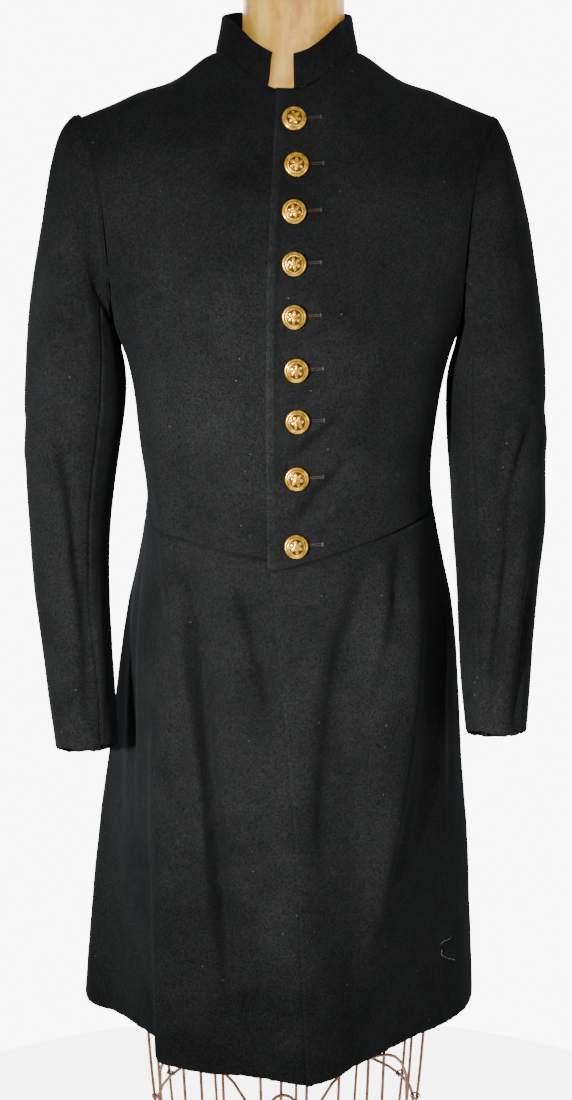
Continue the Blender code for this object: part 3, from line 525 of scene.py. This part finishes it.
def draped(grid, panel):
    """The fine grid with its creases, its unevenness, and its edges rolled and stitched down."""
    normals = grid_normals(grid)
    height = 0.45 * MM * wandering(grid, 55 * MM, 1) + 0.22 * MM * wandering(grid, 19 * MM, 2)
    for crease in CREASES:
        if crease.cloth == panel.cloth:
            height += crease_height(crease, grid, normals)
    roll = np.zeros_like(height)
    for edge in EDGES:
        distance = edge_distance(grid, panel, edge)
        kind = SEWN_ROLLS[edge] if edge in panel.sewn else FREE_ROLL
        if edge == "top" and panel in (PANELS["skirt_R"], PANELS["skirt_L"]):
            kind = WAIST_ROLL
        rolled = kind.depth * MM * np.exp(-((np.maximum(distance, 0) / (kind.width * MM)) ** 2))
        sink = FOOT_SINK if panel is PANELS["collar"] else kind.sink * MM
        sunk = np.minimum(-TURNING_SLOPE * np.minimum(distance, 0), sink)
        roll = np.maximum(roll, rolled + sunk)
        if edge in panel.stitched:
            height -= GROOVE_DEPTH * np.exp(-(((distance - STITCH_INSET) / GROOVE_WIDTH) ** 2))
    out = grid + normals * (height - roll)[..., None]
    for edge in panel.ragged:
        fade = np.exp(-edge_distance(grid, panel, edge) / (6 * MM))
        out[..., 2] += fade * HEM_WAVE * wandering(grid, 6 * MM, 3)
        if panel.cloth != COAT:
            drop = CUFF_DROP * np.exp(-edge_distance(grid, panel, edge) / (38 * MM))
            out[..., 2] -= drop * np.maximum(-normals[..., 1], 0)
    return out


def edge_wear_and_highlight(grid, panel):
    """How worn the cloth is at each point, from 0 to 1 at its free edges; along the left front's lap edge it
    is mostly a painted highlight, standing in for light caught on the rolled rim.
    """
    wear_and_lap_highlight = np.zeros(grid.shape[:2])
    for edge in set(EDGES) - set(panel.sewn):
        wear_and_lap_highlight = np.maximum(wear_and_lap_highlight, np.exp(-((edge_distance(grid, panel, edge) / WEAR_AND_HIGHLIGHT_WIDTH) ** 2)))
    return wear_and_lap_highlight * (LAP_WEAR_AND_HIGHLIGHT if panel is PANELS["forepart_L"] else PLAIN_WEAR)


def linked(name, mesh):
    obj = bpy.data.objects.new(name, mesh)
    bpy.context.scene.collection.objects.link(obj)
    return obj


def grid_object(name, grid, normals):
    """A sheet of quads through the grid whose faces look along the normals."""
    rows, columns = grid.shape[:2]
    index = np.arange(rows * columns).reshape(rows, columns)
    quads = np.stack([index[:-1, :-1], index[:-1, 1:], index[1:, 1:], index[1:, :-1]], axis=-1).reshape(-1, 4)
    middle = rows // 2, columns // 2
    across = grid[middle[0], middle[1] + 1] - grid[middle]
    up = grid[middle[0] + 1, middle[1]] - grid[middle]
    if np.dot(np.cross(across, up), normals[middle]) < 0:
        quads = quads[:, ::-1]
    mesh = bpy.data.meshes.new(name)
    mesh.from_pydata(grid.reshape(-1, 3).tolist(), [], quads.tolist())
    mesh.shade_smooth()
    return linked(name, mesh)


def cloth_panels(material):
    """A thin shell in place of every cloth wall. Returns the fine grids by node."""
    grids = {}
    for node, panel in PANELS.items():
        plain = refined(node_grid(node))
        if node == "collar":
            plain = collar_cut_back(plain)
        share = np.linspace(0, 1, len(plain))
        if node == "skirt_L":
            plain = drawn_over(plain, SKIRT_REACH * smooth((share - 0.35) / 0.6))
        if node == "forepart_L":
            plain = drawn_over(plain, LAP_REACH * smooth((0.95 - share) / 0.45))
        plain = with_turnings(plain, panel)
        grid = draped(plain, panel)
        piece = grid_object(f"{node}_cloth", grid, grid_normals(plain))
        # The lightening at free edges: wear, and a painted highlight along the lap edge.
        worn = piece.data.attributes.new("wear_and_lap_highlight", "FLOAT", "POINT")
        worn.data.foreach_set("value", edge_wear_and_highlight(grid, panel).ravel())
        wall = piece.modifiers.new("Cloth", "SOLIDIFY")
        wall.thickness = CLOTH * 0.9
        wall.offset = -1
        piece.data.materials.append(material)
        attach(piece, "root")
        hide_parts(node)
        grids[node] = grid
    return grids


def node_tree(name):
    """A new material with its nodes, its links and its shader."""
    material = bpy.data.materials.new(name)
    material.use_nodes = True
    tree = material.node_tree
    return material, tree, tree.nodes["Principled BSDF"]


def add_noise(tree, scale, detail=4.0, roughness=0.55, stretch=(1, 1, 1)):
    """A noise texture on the object's own coordinates."""
    place = tree.nodes.new("ShaderNodeTexCoord")
    mapping = tree.nodes.new("ShaderNodeMapping")
    mapping.inputs["Scale"].default_value = stretch
    texture = tree.nodes.new("ShaderNodeTexNoise")
    texture.inputs["Scale"].default_value = scale
    texture.inputs["Detail"].default_value = detail
    texture.inputs["Roughness"].default_value = roughness
    tree.links.new(place.outputs["Object"], mapping.inputs["Vector"])
    tree.links.new(mapping.outputs["Vector"], texture.inputs["Vector"])
    return texture.outputs["Fac"]


def add_ramp(tree, factor, *stops):
    """A colour ramp on a factor: stops are (place, colour)."""
    ramp = tree.nodes.new("ShaderNodeValToRGB")
    elements = ramp.color_ramp.elements
    while len(elements) < len(stops):
        elements.new(0.5)
    for element, (place, colour) in zip(elements, stops):
        element.position = place
        element.color = (*colour, 1)
    tree.links.new(factor, ramp.inputs["Fac"])
    return ramp.outputs["Color"]


def add_mix(tree, factor, first, second, blend="MIX"):
    mix = tree.nodes.new("ShaderNodeMix")
    mix.data_type = "RGBA"
    mix.blend_type = blend
    for socket, value in ((mix.inputs[0], factor), (mix.inputs[6], first), (mix.inputs[7], second)):
        if isinstance(value, bpy.types.NodeSocket):
            tree.links.new(value, socket)
        else:
            socket.default_value = value
    return mix.outputs[2]


def add_bump(tree, shader, height, strength, distance):
    bump = tree.nodes.new("ShaderNodeBump")
    bump.inputs["Strength"].default_value = strength
    bump.inputs["Distance"].default_value = distance
    tree.links.new(height, bump.inputs["Height"])
    tree.links.new(bump.outputs["Normal"], shader.inputs["Normal"])


def add_range(tree, value, low, high, to_low, to_high):
    """The value mapped from one range to another, held at its ends."""
    mapped = tree.nodes.new("ShaderNodeMapRange")
    tree.links.new(value, mapped.inputs["Value"])
    for socket, number in zip(("From Min", "From Max", "To Min", "To Max"), (low, high, to_low, to_high)):
        mapped.inputs[socket].default_value = number
    return mapped.outputs["Result"]


def wool_material():
    """Black broadcloth: a felted nap with a faint sheen, slightly cloudy, with specks of pale lint, lighter
    at its free edges with wear, and with a painted highlight along the left front's lap edge.
    """
    material, tree, shader = node_tree("wool_broadcloth_finish")
    cloud = add_noise(tree, 11, 6, 0.7)
    nap = add_noise(tree, 520, 4, 0.8)
    cloudy = add_ramp(tree, cloud, (0.32, (0.0082, 0.0083, 0.0083)), (0.70, (0.0156, 0.0158, 0.0157)))
    tint = add_ramp(tree, add_noise(tree, 60, 4, 0.7), (0.36, (0.97, 1.0, 1.03)), (0.5, (0.99, 1.01, 1.0)),
                    (0.64, (1.01, 1.01, 0.97)))
    napped = add_ramp(tree, nap, (0.35, (0.37, 0.37, 0.37)), (0.67, (1.14, 1.14, 1.14)))
    cloth = add_mix(tree, 1.0, add_mix(tree, 1.0, cloudy, tint, "MULTIPLY"), napped, "MULTIPLY")
    # Free edges brightened by their mask: wear, plus a painted highlight along the left front's lap edge.
    wear_and_lap_highlight = tree.nodes.new("ShaderNodeAttribute")
    wear_and_lap_highlight.attribute_name = "wear_and_lap_highlight"
    rubbed_and_lit = tree.nodes.new("ShaderNodeMath")
    rubbed_and_lit.operation = "MULTIPLY"
    tree.links.new(wear_and_lap_highlight.outputs["Fac"], rubbed_and_lit.inputs[0])
    tree.links.new(add_range(tree, add_noise(tree, 70, 4, 0.7), 0.36, 0.62, 0.10, 0.62), rubbed_and_lit.inputs[1])
    cloth = add_mix(tree, rubbed_and_lit.outputs[0], cloth, add_mix(tree, 1.0, cloth, (2.4, 2.4, 2.5, 1), "MULTIPLY"))
    specks = tree.nodes.new("ShaderNodeTexVoronoi")
    specks.inputs["Scale"].default_value = 70
    place = tree.nodes.new("ShaderNodeTexCoord")
    tree.links.new(place.outputs["Object"], specks.inputs["Vector"])
    near = add_range(tree, specks.outputs["Distance"], 0.038, 0.056, 1, 0)
    chosen = add_range(tree, specks.outputs["Color"], 0.56, 0.76, 0, 1)
    speck = tree.nodes.new("ShaderNodeMath")
    speck.operation = "MULTIPLY"
    tree.links.new(near, speck.inputs[0])
    tree.links.new(chosen, speck.inputs[1])
    colour = add_mix(tree, speck.outputs[0], cloth, (0.060, 0.057, 0.050, 1))
    tree.links.new(colour, shader.inputs["Base Color"])
    shader.inputs["Roughness"].default_value = 0.82
    shader.inputs["Specular IOR Level"].default_value = 0
    shader.inputs["Sheen Weight"].default_value = 0.02
    shader.inputs["Sheen Roughness"].default_value = 0.45
    shader.inputs["Sheen Tint"].default_value = (0.80, 0.86, 1.0, 1)
    add_bump(tree, shader, add_noise(tree, 900, 4, 0.75), 0.5, 0.0006)
    return material


def thread_material(name, dark, light, scale):
    """Sewing thread: short streaks of two tones."""
    material, tree, shader = node_tree(name)
    tone = add_noise(tree, scale, 3)
    tree.links.new(add_ramp(tree, tone, (0.35, dark), (0.7, light)), shader.inputs["Base Color"])
    shader.inputs["Roughness"].default_value = 0.7
    shader.inputs["Specular IOR Level"].default_value = 0.1
    add_bump(tree, shader, add_noise(tree, 3 * scale, 2), 0.4, 0.0002)
    return material


def gilt_material():
    """Worn gilt brass, browner in its hollows."""
    material, tree, shader = node_tree("gilt_brass_finish")
    hollow = tree.nodes.new("ShaderNodeAttribute")
    hollow.attribute_name = "hollow"
    tarnish = add_noise(tree, 240, 5, 0.6)
    worn = add_ramp(tree, tarnish, (0.34, (0.26, 0.11, 0.010)), (0.52, (0.76, 0.39, 0.03)),
                    (0.72, (1.0, 0.66, 0.10)))
    colour = add_mix(tree, hollow.outputs["Fac"], worn, (0.10, 0.045, 0.012, 1))
    tree.links.new(colour, shader.inputs["Base Color"])
    shader.inputs["Metallic"].default_value = 1.0
    tree.links.new(add_range(tree, tarnish, 0.3, 0.75, 0.38, 0.16), shader.inputs["Roughness"])
    add_bump(tree, shader, add_noise(tree, 700, 3), 0.15, 0.0002)
    return material


def linen_material():
    """Aged linen under old varnish: cream worn through to brown."""
    material, tree, shader = node_tree("linen_finish")
    stain = add_noise(tree, 16, 6, 0.65)
    drip = add_noise(tree, 22, 4, 0.6, (3, 3, 0.6))
    aged = add_ramp(tree, stain, (0.37, (0.34, 0.12, 0.012)), (0.50, (0.88, 0.43, 0.04)),
                    (0.64, (1.0, 0.66, 0.12)))
    streaked = add_ramp(tree, drip, (0.40, (0.62, 0.25, 0.02)), (0.60, (1.0, 0.64, 0.11)))
    tree.links.new(add_mix(tree, 0.5, aged, streaked), shader.inputs["Base Color"])
    shader.inputs["Roughness"].default_value = 0.55
    weave = tree.nodes.new("ShaderNodeMath")
    weave.operation = "ADD"
    for socket, stretch in zip(weave.inputs, ((1, 1, 0.15), (0.15, 0.15, 1))):
        tree.links.new(add_noise(tree, 800, 2, 0.5, stretch), socket)
    add_bump(tree, shader, weave.outputs[0], 0.35, 0.0005)
    return material


def rust_material():
    """Rusted iron wire: dark scale with orange bloom."""
    material, tree, shader = node_tree("rust_finish")
    patches = add_noise(tree, 90, 6, 0.7)
    colour = add_ramp(tree, patches, (0.32, (0.045, 0.018, 0.010)), (0.50, (0.14, 0.052, 0.020)),
                      (0.68, (0.32, 0.13, 0.048)))
    tree.links.new(colour, shader.inputs["Base Color"])
    shader.inputs["Metallic"].default_value = 0.35
    tree.links.new(add_range(tree, patches, 0.3, 0.8, 0.5, 0.9), shader.inputs["Roughness"])
    add_bump(tree, shader, add_noise(tree, 1100, 4, 0.7), 0.6, 0.0005)
    return material


def wood_material():
    """Oiled brown wood with long grain."""
    material, tree, shader = node_tree("wood_finish")
    grain = add_noise(tree, 30, 6, 0.6, (0.3, 5, 5))
    colour = add_ramp(tree, grain, (0.3, (0.09, 0.045, 0.02)), (0.7, (0.26, 0.14, 0.065)))
    tree.links.new(colour, shader.inputs["Base Color"])
    shader.inputs["Roughness"].default_value = 0.5
    add_bump(tree, shader, grain, 0.3, 0.0006)
    return material


def floor_material():
    material, tree, shader = node_tree("studio_floor")
    tone = add_noise(tree, 2, 3)
    colour = add_ramp(tree, tone, (0.3, (0.83, 0.83, 0.82)), (0.7, (0.86, 0.86, 0.85)))
    tree.links.new(colour, shader.inputs["Base Color"])
    shader.inputs["Emission Color"].default_value = (1, 1, 1, 1)
    shader.inputs["Emission Strength"].default_value = FLOOR_GLOW
    shader.inputs["Roughness"].default_value = 0.8
    return material


def button_surface(radius, turn):
    """Height and hollowness of the button's front at a share of its radius and a turn."""
    dome = BUTTON_DOME * math.sqrt(max(1 - 0.92 * radius ** 2, 0.0))
    petal = 0.5 + 0.5 * math.cos(6 * turn)
    relief, hollow = 0.0, 0.0
    if radius < 0.16:
        relief = 0.75
    elif radius < 0.62:
        edge = 0.30 + 0.30 * petal ** 0.6
        inside = float(smooth((edge - radius) / 0.07))
        vein = math.exp(-((((turn * 6 + math.pi) % (2 * math.pi)) - math.pi) / 0.35) ** 2)
        relief = inside * (0.55 + 0.25 * petal - 0.22 * vein)
        hollow = 1 - inside
    elif radius < 0.80:
        ring = math.exp(-(((radius - 0.71) / 0.055) ** 2))
        relief = ring * (0.42 + 0.18 * math.cos(28 * turn + 9 * radius))
        hollow = 0.8 * (1 - ring)
    elif radius > 0.86:
        rim = math.exp(-(((radius - 0.93) / 0.05) ** 2))
        relief = 0.45 * rim
    return dome + relief * MM, hollow


def button_mesh(material):
    """A domed button with a six-petal flower in a roped ring, closed at the back by its shank."""
    rings, turns = 22, 72
    mesh = bmesh.new()
    layer = mesh.verts.layers.float.new("hollow")
    loops = []
    for ring in range(1, rings + 1):
        radius = ring / rings
        loop = []
        for step in range(turns):
            turn = 2 * math.pi * step / turns
            height, hollow = button_surface(radius, turn)
            across = radius * BUTTON_RADIUS
            vert = mesh.verts.new((across * math.cos(turn), across * math.sin(turn), height))
            vert[layer] = hollow
            loop.append(vert)
        loops.append(loop)
    back = ((1.0, 0.6), (0.93, 0.1), (0.5, -0.2), (0.24, -0.3), (0.22, -1.9))
    for share, height in back:
        loops.append([mesh.verts.new((share * BUTTON_RADIUS * math.cos(2 * math.pi * step / turns),
                                      share * BUTTON_RADIUS * math.sin(2 * math.pi * step / turns),
                                      height * MM)) for step in range(turns)])
    for low, high in zip(loops, loops[1:]):
        for step in range(turns):
            after = (step + 1) % turns
            mesh.faces.new((low[step], high[step], high[after], low[after]))
    top = mesh.verts.new((0, 0, button_surface(0, 0)[0]))
    end = mesh.verts.new((0, 0, -1.9 * MM))
    for step in range(turns):
        after = (step + 1) % turns
        mesh.faces.new((top, loops[0][step], loops[0][after]))
        mesh.faces.new((end, loops[-1][after], loops[-1][step]))
    data = bpy.data.meshes.new("button_face")
    mesh.to_mesh(data)
    mesh.free()
    data.shade_smooth()
    data.materials.append(material)
    return data


def button_place(node):
    """Centre and outward axis of a button's rim, from its node."""
    points = np.array([tuple(vert.co) for vert in frame["nodes"][node].data.vertices])
    centre = points.mean(axis=0)
    axis = np.linalg.eigh(np.cov((points - centre).T))[1][:, 0]
    outward = Vector((0, -1 if centre[1] < 0 else 1, 0))
    axis = Vector(axis)
    if axis.dot(outward) < 0:
        axis.negate()
    heights = (points - centre) @ np.array(axis)
    radii = np.linalg.norm(points - centre - np.outer(heights, axis), axis=1)
    rim = points[radii > 0.9 * radii.max()]
    return Vector(rim.mean(axis=0)), axis


def buttons(material):
    """The front and hip buttons, each turned a little differently."""
    mesh = button_mesh(material)
    places = {}
    spin = random.Random(5)
    names = [f"button_{number}" for number in range(1, 10)] + ["hip_button_R", "hip_button_L"]
    for node in names:
        centre, axis = button_place(node)
        piece = linked(f"{node}_gilt", mesh)
        turn = Matrix.Rotation(spin.uniform(0, math.tau), 4, "Z")
        seat = centre - axis * 1.2 * MM
        facing = axis.to_track_quat("Z", "Y").to_matrix().to_4x4()
        piece.matrix_world = Matrix.Translation(seat) @ facing @ turn
        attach(piece, "root")
        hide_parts(node)
        places[node] = centre
    return places


def front_tree(grid):
    """A search tree of one panel's surface."""
    rows, columns = grid.shape[:2]
    index = np.arange(rows * columns).reshape(rows, columns)
    quads = np.stack([index[:-1, :-1], index[:-1, 1:], index[1:, 1:], index[1:, :-1]], axis=-1).reshape(-1, 4)
    return BVHTree.FromPolygons(grid.reshape(-1, 3).tolist(), quads.tolist())


def on_front(tree, x, z):
    """The point of the front of the cloth at x, z, and its normal."""
    place, normal, _, _ = tree.ray_cast(Vector((x, -1, z)), Vector((0, 1, 0)))
    return place, normal if normal.y < 0 else -normal


def add_stitch(mesh, start, end, normal, radius):
    """A short round-ended thread lying on the cloth from start to end."""
    way = (end - start).normalized()
    side = way.cross(normal).normalized()
    rings = []
    for share, size, lift in ((0.0, 0.35, 0.0), (0.25, 1.0, 0.7), (0.75, 1.0, 0.7), (1.0, 0.35, 0.0)):
        centre = start.lerp(end, share) + normal * radius * lift
        ring = []
        for step in range(6):
            turn = math.tau * step / 6
            away = side * math.cos(turn) + normal * math.sin(turn)
            ring.append(mesh.verts.new(centre + away * radius * size))
        rings.append(ring)
    for low, high in zip(rings, rings[1:]):
        for step in range(6):
            after = (step + 1) % 6
            mesh.faces.new((low[step], low[after], high[after], high[step]))
    mesh.faces.new(rings[0][::-1])
    mesh.faces.new(rings[-1])


def stitch_piece(name, mesh, material):
    bmesh.ops.recalc_face_normals(mesh, faces=mesh.faces)
    data = bpy.data.meshes.new(name)
    mesh.to_mesh(data)
    mesh.free()
    data.shade_smooth()
    data.materials.append(material)
    piece = linked(name, data)
    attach(piece, "root")
    return piece


def buttonholes(tree, places, material):
    """Worked holes that run out from under the front buttons, closed by a bar."""
    for number in range(1, 10):
        centre = places[f"button_{number}"]
        mesh = bmesh.new()
        count = int((HOLE_END - HOLE_START) / HOLE_STITCH)
        for index in range(count + 1):
            reach = HOLE_START + index * HOLE_STITCH
            x, z = centre.x + reach, centre.z + HOLE_TILT * reach
            for up in (1, -1):
                inner, normal = on_front(tree, x, z + up * 0.2 * MM)
                outer, _ = on_front(tree, x, z + up * 1.35 * MM)
                add_stitch(mesh, inner + normal * 0.05 * MM, outer, normal, 0.33 * MM)
        for index in range(3):
            x = centre.x + HOLE_END + 0.3 * MM + index * 0.5 * MM
            z = centre.z + HOLE_TILT * HOLE_END
            low, normal = on_front(tree, x, z - 2.0 * MM)
            high, _ = on_front(tree, x, z + 2.0 * MM)
            add_stitch(mesh, low, high, normal, 0.36 * MM)
        stitch_piece(f"buttonhole_{number}", mesh, material)


def inset_line(grid, node, edge, inset):
    """Points and normals of the cloth on a line at a distance in from one of its edges."""
    distance = edge_first(edge_distance(grid, PANELS[node], edge), edge)
    lines = []
    for values in (grid, grid_normals(grid)):
        turned = edge_first(values, edge)
        lines.append(np.array([[np.interp(inset, distance[:, place], turned[:, place, axis])
                                for axis in range(3)] for place in range(turned.shape[1])]))
    return lines


def stitch_row(mesh, points, normals, pitch, length, radius):
    """Even running stitches along a line of points."""
    runs = np.concatenate([[0], np.linalg.norm(np.diff(points, axis=0), axis=1).cumsum()])

    def at(run, values):
        return Vector([np.interp(run, runs, values[:, axis]) for axis in range(3)])

    for index in range(1, int(runs[-1] / pitch)):
        run = index * pitch
        normal = at(run, normals).normalized()
        start, end = at(run, points), at(run + length, points)
        add_stitch(mesh, start, end, normal, radius)


def edge_stitching(grids, material):
    """Rows of stitches near the front edges, the collar's edge and the skirt fronts."""
    rows = (
        ("forepart_L", "front"), ("skirt_L", "front"), ("skirt_R", "front"), ("collar", "top"),
    )
    for node, edge in rows:
        mesh = bmesh.new()
        points, normals = inset_line(grids[node], node, edge, STITCH_INSET)
        stitch_row(mesh, points, normals, 2.6 * MM, 1.7 * MM, 0.2 * MM)
        stitch_piece(f"{node}_{edge}_stitching", mesh, material)


def lint_threads(tree, material):
    """Two ends of pale thread that cling to the left skirt."""
    mesh = bmesh.new()
    for places in (((144, 351), (148, 352.5), (152, 351.5), (156, 352)),
                   ((146, 345), (145, 341), (148, 337), (152, 333), (155, 331), (160, 327))):
        for first, last in zip(places, places[1:]):
            start, normal = on_front(tree, first[0] * MM, first[1] * MM)
            end, _ = on_front(tree, last[0] * MM, last[1] * MM)
            add_stitch(mesh, start, end, normal, LINT_RADIUS)
    stitch_piece("lint_threads", mesh, material)


def smooth_form(material):
    """The torso and neck block, rounded between the solid's rings."""
    mesh = bmesh.new()
    mesh.from_mesh(frame["nodes"]["form_torso"].data)
    bmesh.ops.remove_doubles(mesh, verts=mesh.verts, dist=WELD)
    bmesh.ops.join_triangles(mesh, faces=mesh.faces, angle_face_threshold=math.radians(25),
                             angle_shape_threshold=math.radians(60))
    crease = mesh.edges.layers.float.new("crease_edge")
    for edge in mesh.edges:
        if edge.is_manifold and edge.calc_face_angle() > math.radians(40):
            edge[crease] = 0.8
    data = bpy.data.meshes.new("form_linen")
    mesh.to_mesh(data)
    mesh.free()
    data.shade_smooth()
    data.materials.append(material)
    piece = linked("form_linen", data)
    rounding = piece.modifiers.new("Rounding", "SUBSURF")
    rounding.levels = rounding.render_levels = 2
    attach(piece, "root")
    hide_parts("form_torso")


def wire_line(node):
    """Centre line of an upright wire, from its foot to its top."""
    points = np.unique(np.round([tuple(vert.co) for vert in frame["nodes"][node].data.vertices], 7), axis=0)
    points = points[np.argsort(points[:, 2])]
    breaks = np.flatnonzero(np.diff(points[:, 2]) > 20 * MM) + 1
    return [Vector(ring.mean(axis=0)) for ring in np.split(points, breaks)]


def wires(material):
    """Hand-bent upright wires in place of the plain ones, and binding wire where they cross a hoop."""
    bend = random.Random(11)
    bindings = bmesh.new()
    for number in range(1, 19):
        node = f"upright_{number}"
        line = wire_line(node)
        weights = spline_weights([1.0] * (len(line) - 1), np.linspace(0, len(line) - 1, 49))
        points = weights @ np.array(line)
        phase, sway = bend.uniform(0, math.tau), bend.uniform(0.3, 1.0) * MM
        for index, point in enumerate(points):
            fade = math.sin(math.pi * index / 48)
            point[0] += sway * fade * math.sin(phase + index / 5)
            point[1] += sway * fade * math.cos(phase + index / 6.3)
        curve = bpy.data.curves.new(f"{node}_wire", "CURVE")
        curve.dimensions = "3D"
        curve.bevel_depth = 1.5 * MM
        curve.bevel_resolution = 2
        curve.use_fill_caps = True
        spline = curve.splines.new("POLY")
        spline.points.add(len(points) - 1)
        for target, point in zip(spline.points, points):
            target.co = (*point, 1)
        curve.materials.append(material)
        piece = linked(f"{node}_wire", curve)
        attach(piece, "root")
        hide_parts(node)
        for hoop in ("hoop_1", "hoop_2"):
            low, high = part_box(hoop)
            level = (low.z + high.z) / 2
            place = Vector([np.interp(level, points[:, 2], points[:, axis]) for axis in range(3)])
            inward = Vector(((low.x + high.x) / 2 - place.x, (low.y + high.y) / 2 - place.y, 0)).normalized()
            add_binding(bindings, place + inward * 1.9 * MM, inward)
    stitch_piece("wire_bindings", bindings, material)


def add_binding(mesh, centre, inward):
    """Three turns of thin wire round an upright and a hoop."""
    turns, steps, sides = 3, 14, 5
    up, across = Vector((0, 0, 1)), inward.cross(Vector((0, 0, 1)))
    rings = []
    for index in range(turns * steps + 1):
        turn = math.tau * index / steps
        lean = (index / steps - turns / 2) * 1.3 * MM
        slope = 0.7 * (across * 1.0 + up * 1.0)
        middle = centre + inward * 4.6 * MM * math.cos(turn) + slope.normalized() * 3.1 * MM * math.sin(turn)
        middle += (up - across).normalized() * lean
        ring = []
        outward = (middle - centre).normalized()
        other = (up - across).normalized()
        for side in range(sides):
            angle = math.tau * side / sides
            away = outward * math.cos(angle) + other * math.sin(angle)
            ring.append(mesh.verts.new(middle + away * 0.55 * MM))
        rings.append(ring)
    for low, high in zip(rings, rings[1:]):
        for side in range(sides):
            after = (side + 1) % sides
            mesh.faces.new((low[side], low[after], high[after], high[side]))
    mesh.faces.new(rings[0][::-1])
    mesh.faces.new(rings[-1])


def finish_nodes(rust, wood):
    """Materials for the nodes that keep their own shape."""
    finishes = {"hip_board": wood, "base_ring": rust, "hoop_1": rust, "hoop_2": rust,
                "middle_arch": rust, "right_arch": rust, "left_arch": rust}
    for node, material in finishes.items():
        mesh = frame["nodes"][node].data
        mesh.materials.clear()
        mesh.materials.append(material)


def add_light(name, kind, place, target, power, **settings):
    """A light that looks at its target. Returns its object."""
    light = bpy.data.lights.new(name, kind)
    light.energy = power
    for setting, value in settings.items():
        setattr(light, setting, value)
    obj = linked(name, light)
    obj.location = place
    obj.rotation_euler = (Vector(target) - Vector(place)).to_track_quat("-Z", "Y").to_euler()
    return obj


def add_floor():
    mesh = bmesh.new()
    bmesh.ops.create_circle(mesh, cap_ends=True, segments=180, radius=FLOOR_RADIUS)
    data = bpy.data.meshes.new("floor")
    mesh.to_mesh(data)
    mesh.free()
    data.materials.append(floor_material())
    floor = linked("floor", data)
    floor.visible_diffuse = False


def add_backdrop():
    """A white surround to look at, which lights the object only faintly."""
    world = bpy.data.worlds.new("studio")
    bpy.context.scene.world = world
    world.use_nodes = True
    tree = world.node_tree
    seen = tree.nodes.new("ShaderNodeLightPath")
    mix = tree.nodes.new("ShaderNodeMixShader")
    tree.links.new(seen.outputs["Is Camera Ray"], mix.inputs["Fac"])
    for socket, strength in ((mix.inputs[1], AMBIENT), (mix.inputs[2], BACKDROP)):
        background = tree.nodes.new("ShaderNodeBackground")
        background.inputs["Color"].default_value = (1, 1, 1, 1)
        background.inputs["Strength"].default_value = strength
        tree.links.new(background.outputs["Background"], socket)
    tree.links.new(mix.outputs["Shader"], tree.nodes["World Output"].inputs["Surface"])


def studio():
    """Pale floor, soft light from the left front, and the camera."""
    add_floor()
    add_backdrop()
    key = add_light("key", "SPOT", (-0.85, -1.8, 1.05), (-0.05, 0, 0.68), 500, spot_size=math.radians(30),
                    spot_blend=1.0, shadow_soft_size=0.08, color=(0.985, 0.99, 1.0))
    key.scale = (2.2, 1, 1)
    add_light("neck", "SPOT", (-0.1, -1.5, 1.5), (0, 0, 1.21), 62, spot_size=math.radians(17),
              spot_blend=1.0, shadow_soft_size=0.15)
    add_light("fill", "AREA", (1.2, -2.0, 0.95), (0, 0, 0.8), 12, shape="SQUARE", size=0.8,
              color=(1.0, 1.0, 0.90))
    add_light("back_R", "AREA", (-0.9, 2.1, 1.1), (0, 0, 0.7), 105, shape="SQUARE", size=0.5)
    add_light("back_L", "AREA", (1.3, 1.7, 0.8), (0, 0, 0.7), 45, shape="SQUARE", size=0.7)
    camera = linked("camera", bpy.data.cameras.new("camera"))
    camera.data.lens = CAMERA_LENS
    camera.data.sensor_width = SENSOR
    camera.location = CAMERA_PLACE
    camera.rotation_euler = (math.radians(90 - CAMERA_TILT), 0, 0)
    bpy.context.scene.camera = camera


def main():
    wool = wool_material()
    rust = rust_material()
    grids = cloth_panels(wool)
    places = buttons(gilt_material())
    pale = thread_material("buttonhole_thread", (0.020, 0.014, 0.012), (0.075, 0.056, 0.046), 900)
    dark = thread_material("edge_thread", (0.003, 0.003, 0.004), (0.008, 0.008, 0.009), 900)
    buttonholes(front_tree(grids["forepart_L"]), places, pale)
    edge_stitching(grids, dark)
    lint = thread_material("lint", (0.03, 0.029, 0.025), (0.10, 0.095, 0.08), 300)
    lint_threads(front_tree(grids["skirt_L"]), lint)
    smooth_form(linen_material())
    wires(rust)
    finish_nodes(rust, wood_material())
    studio()


main()
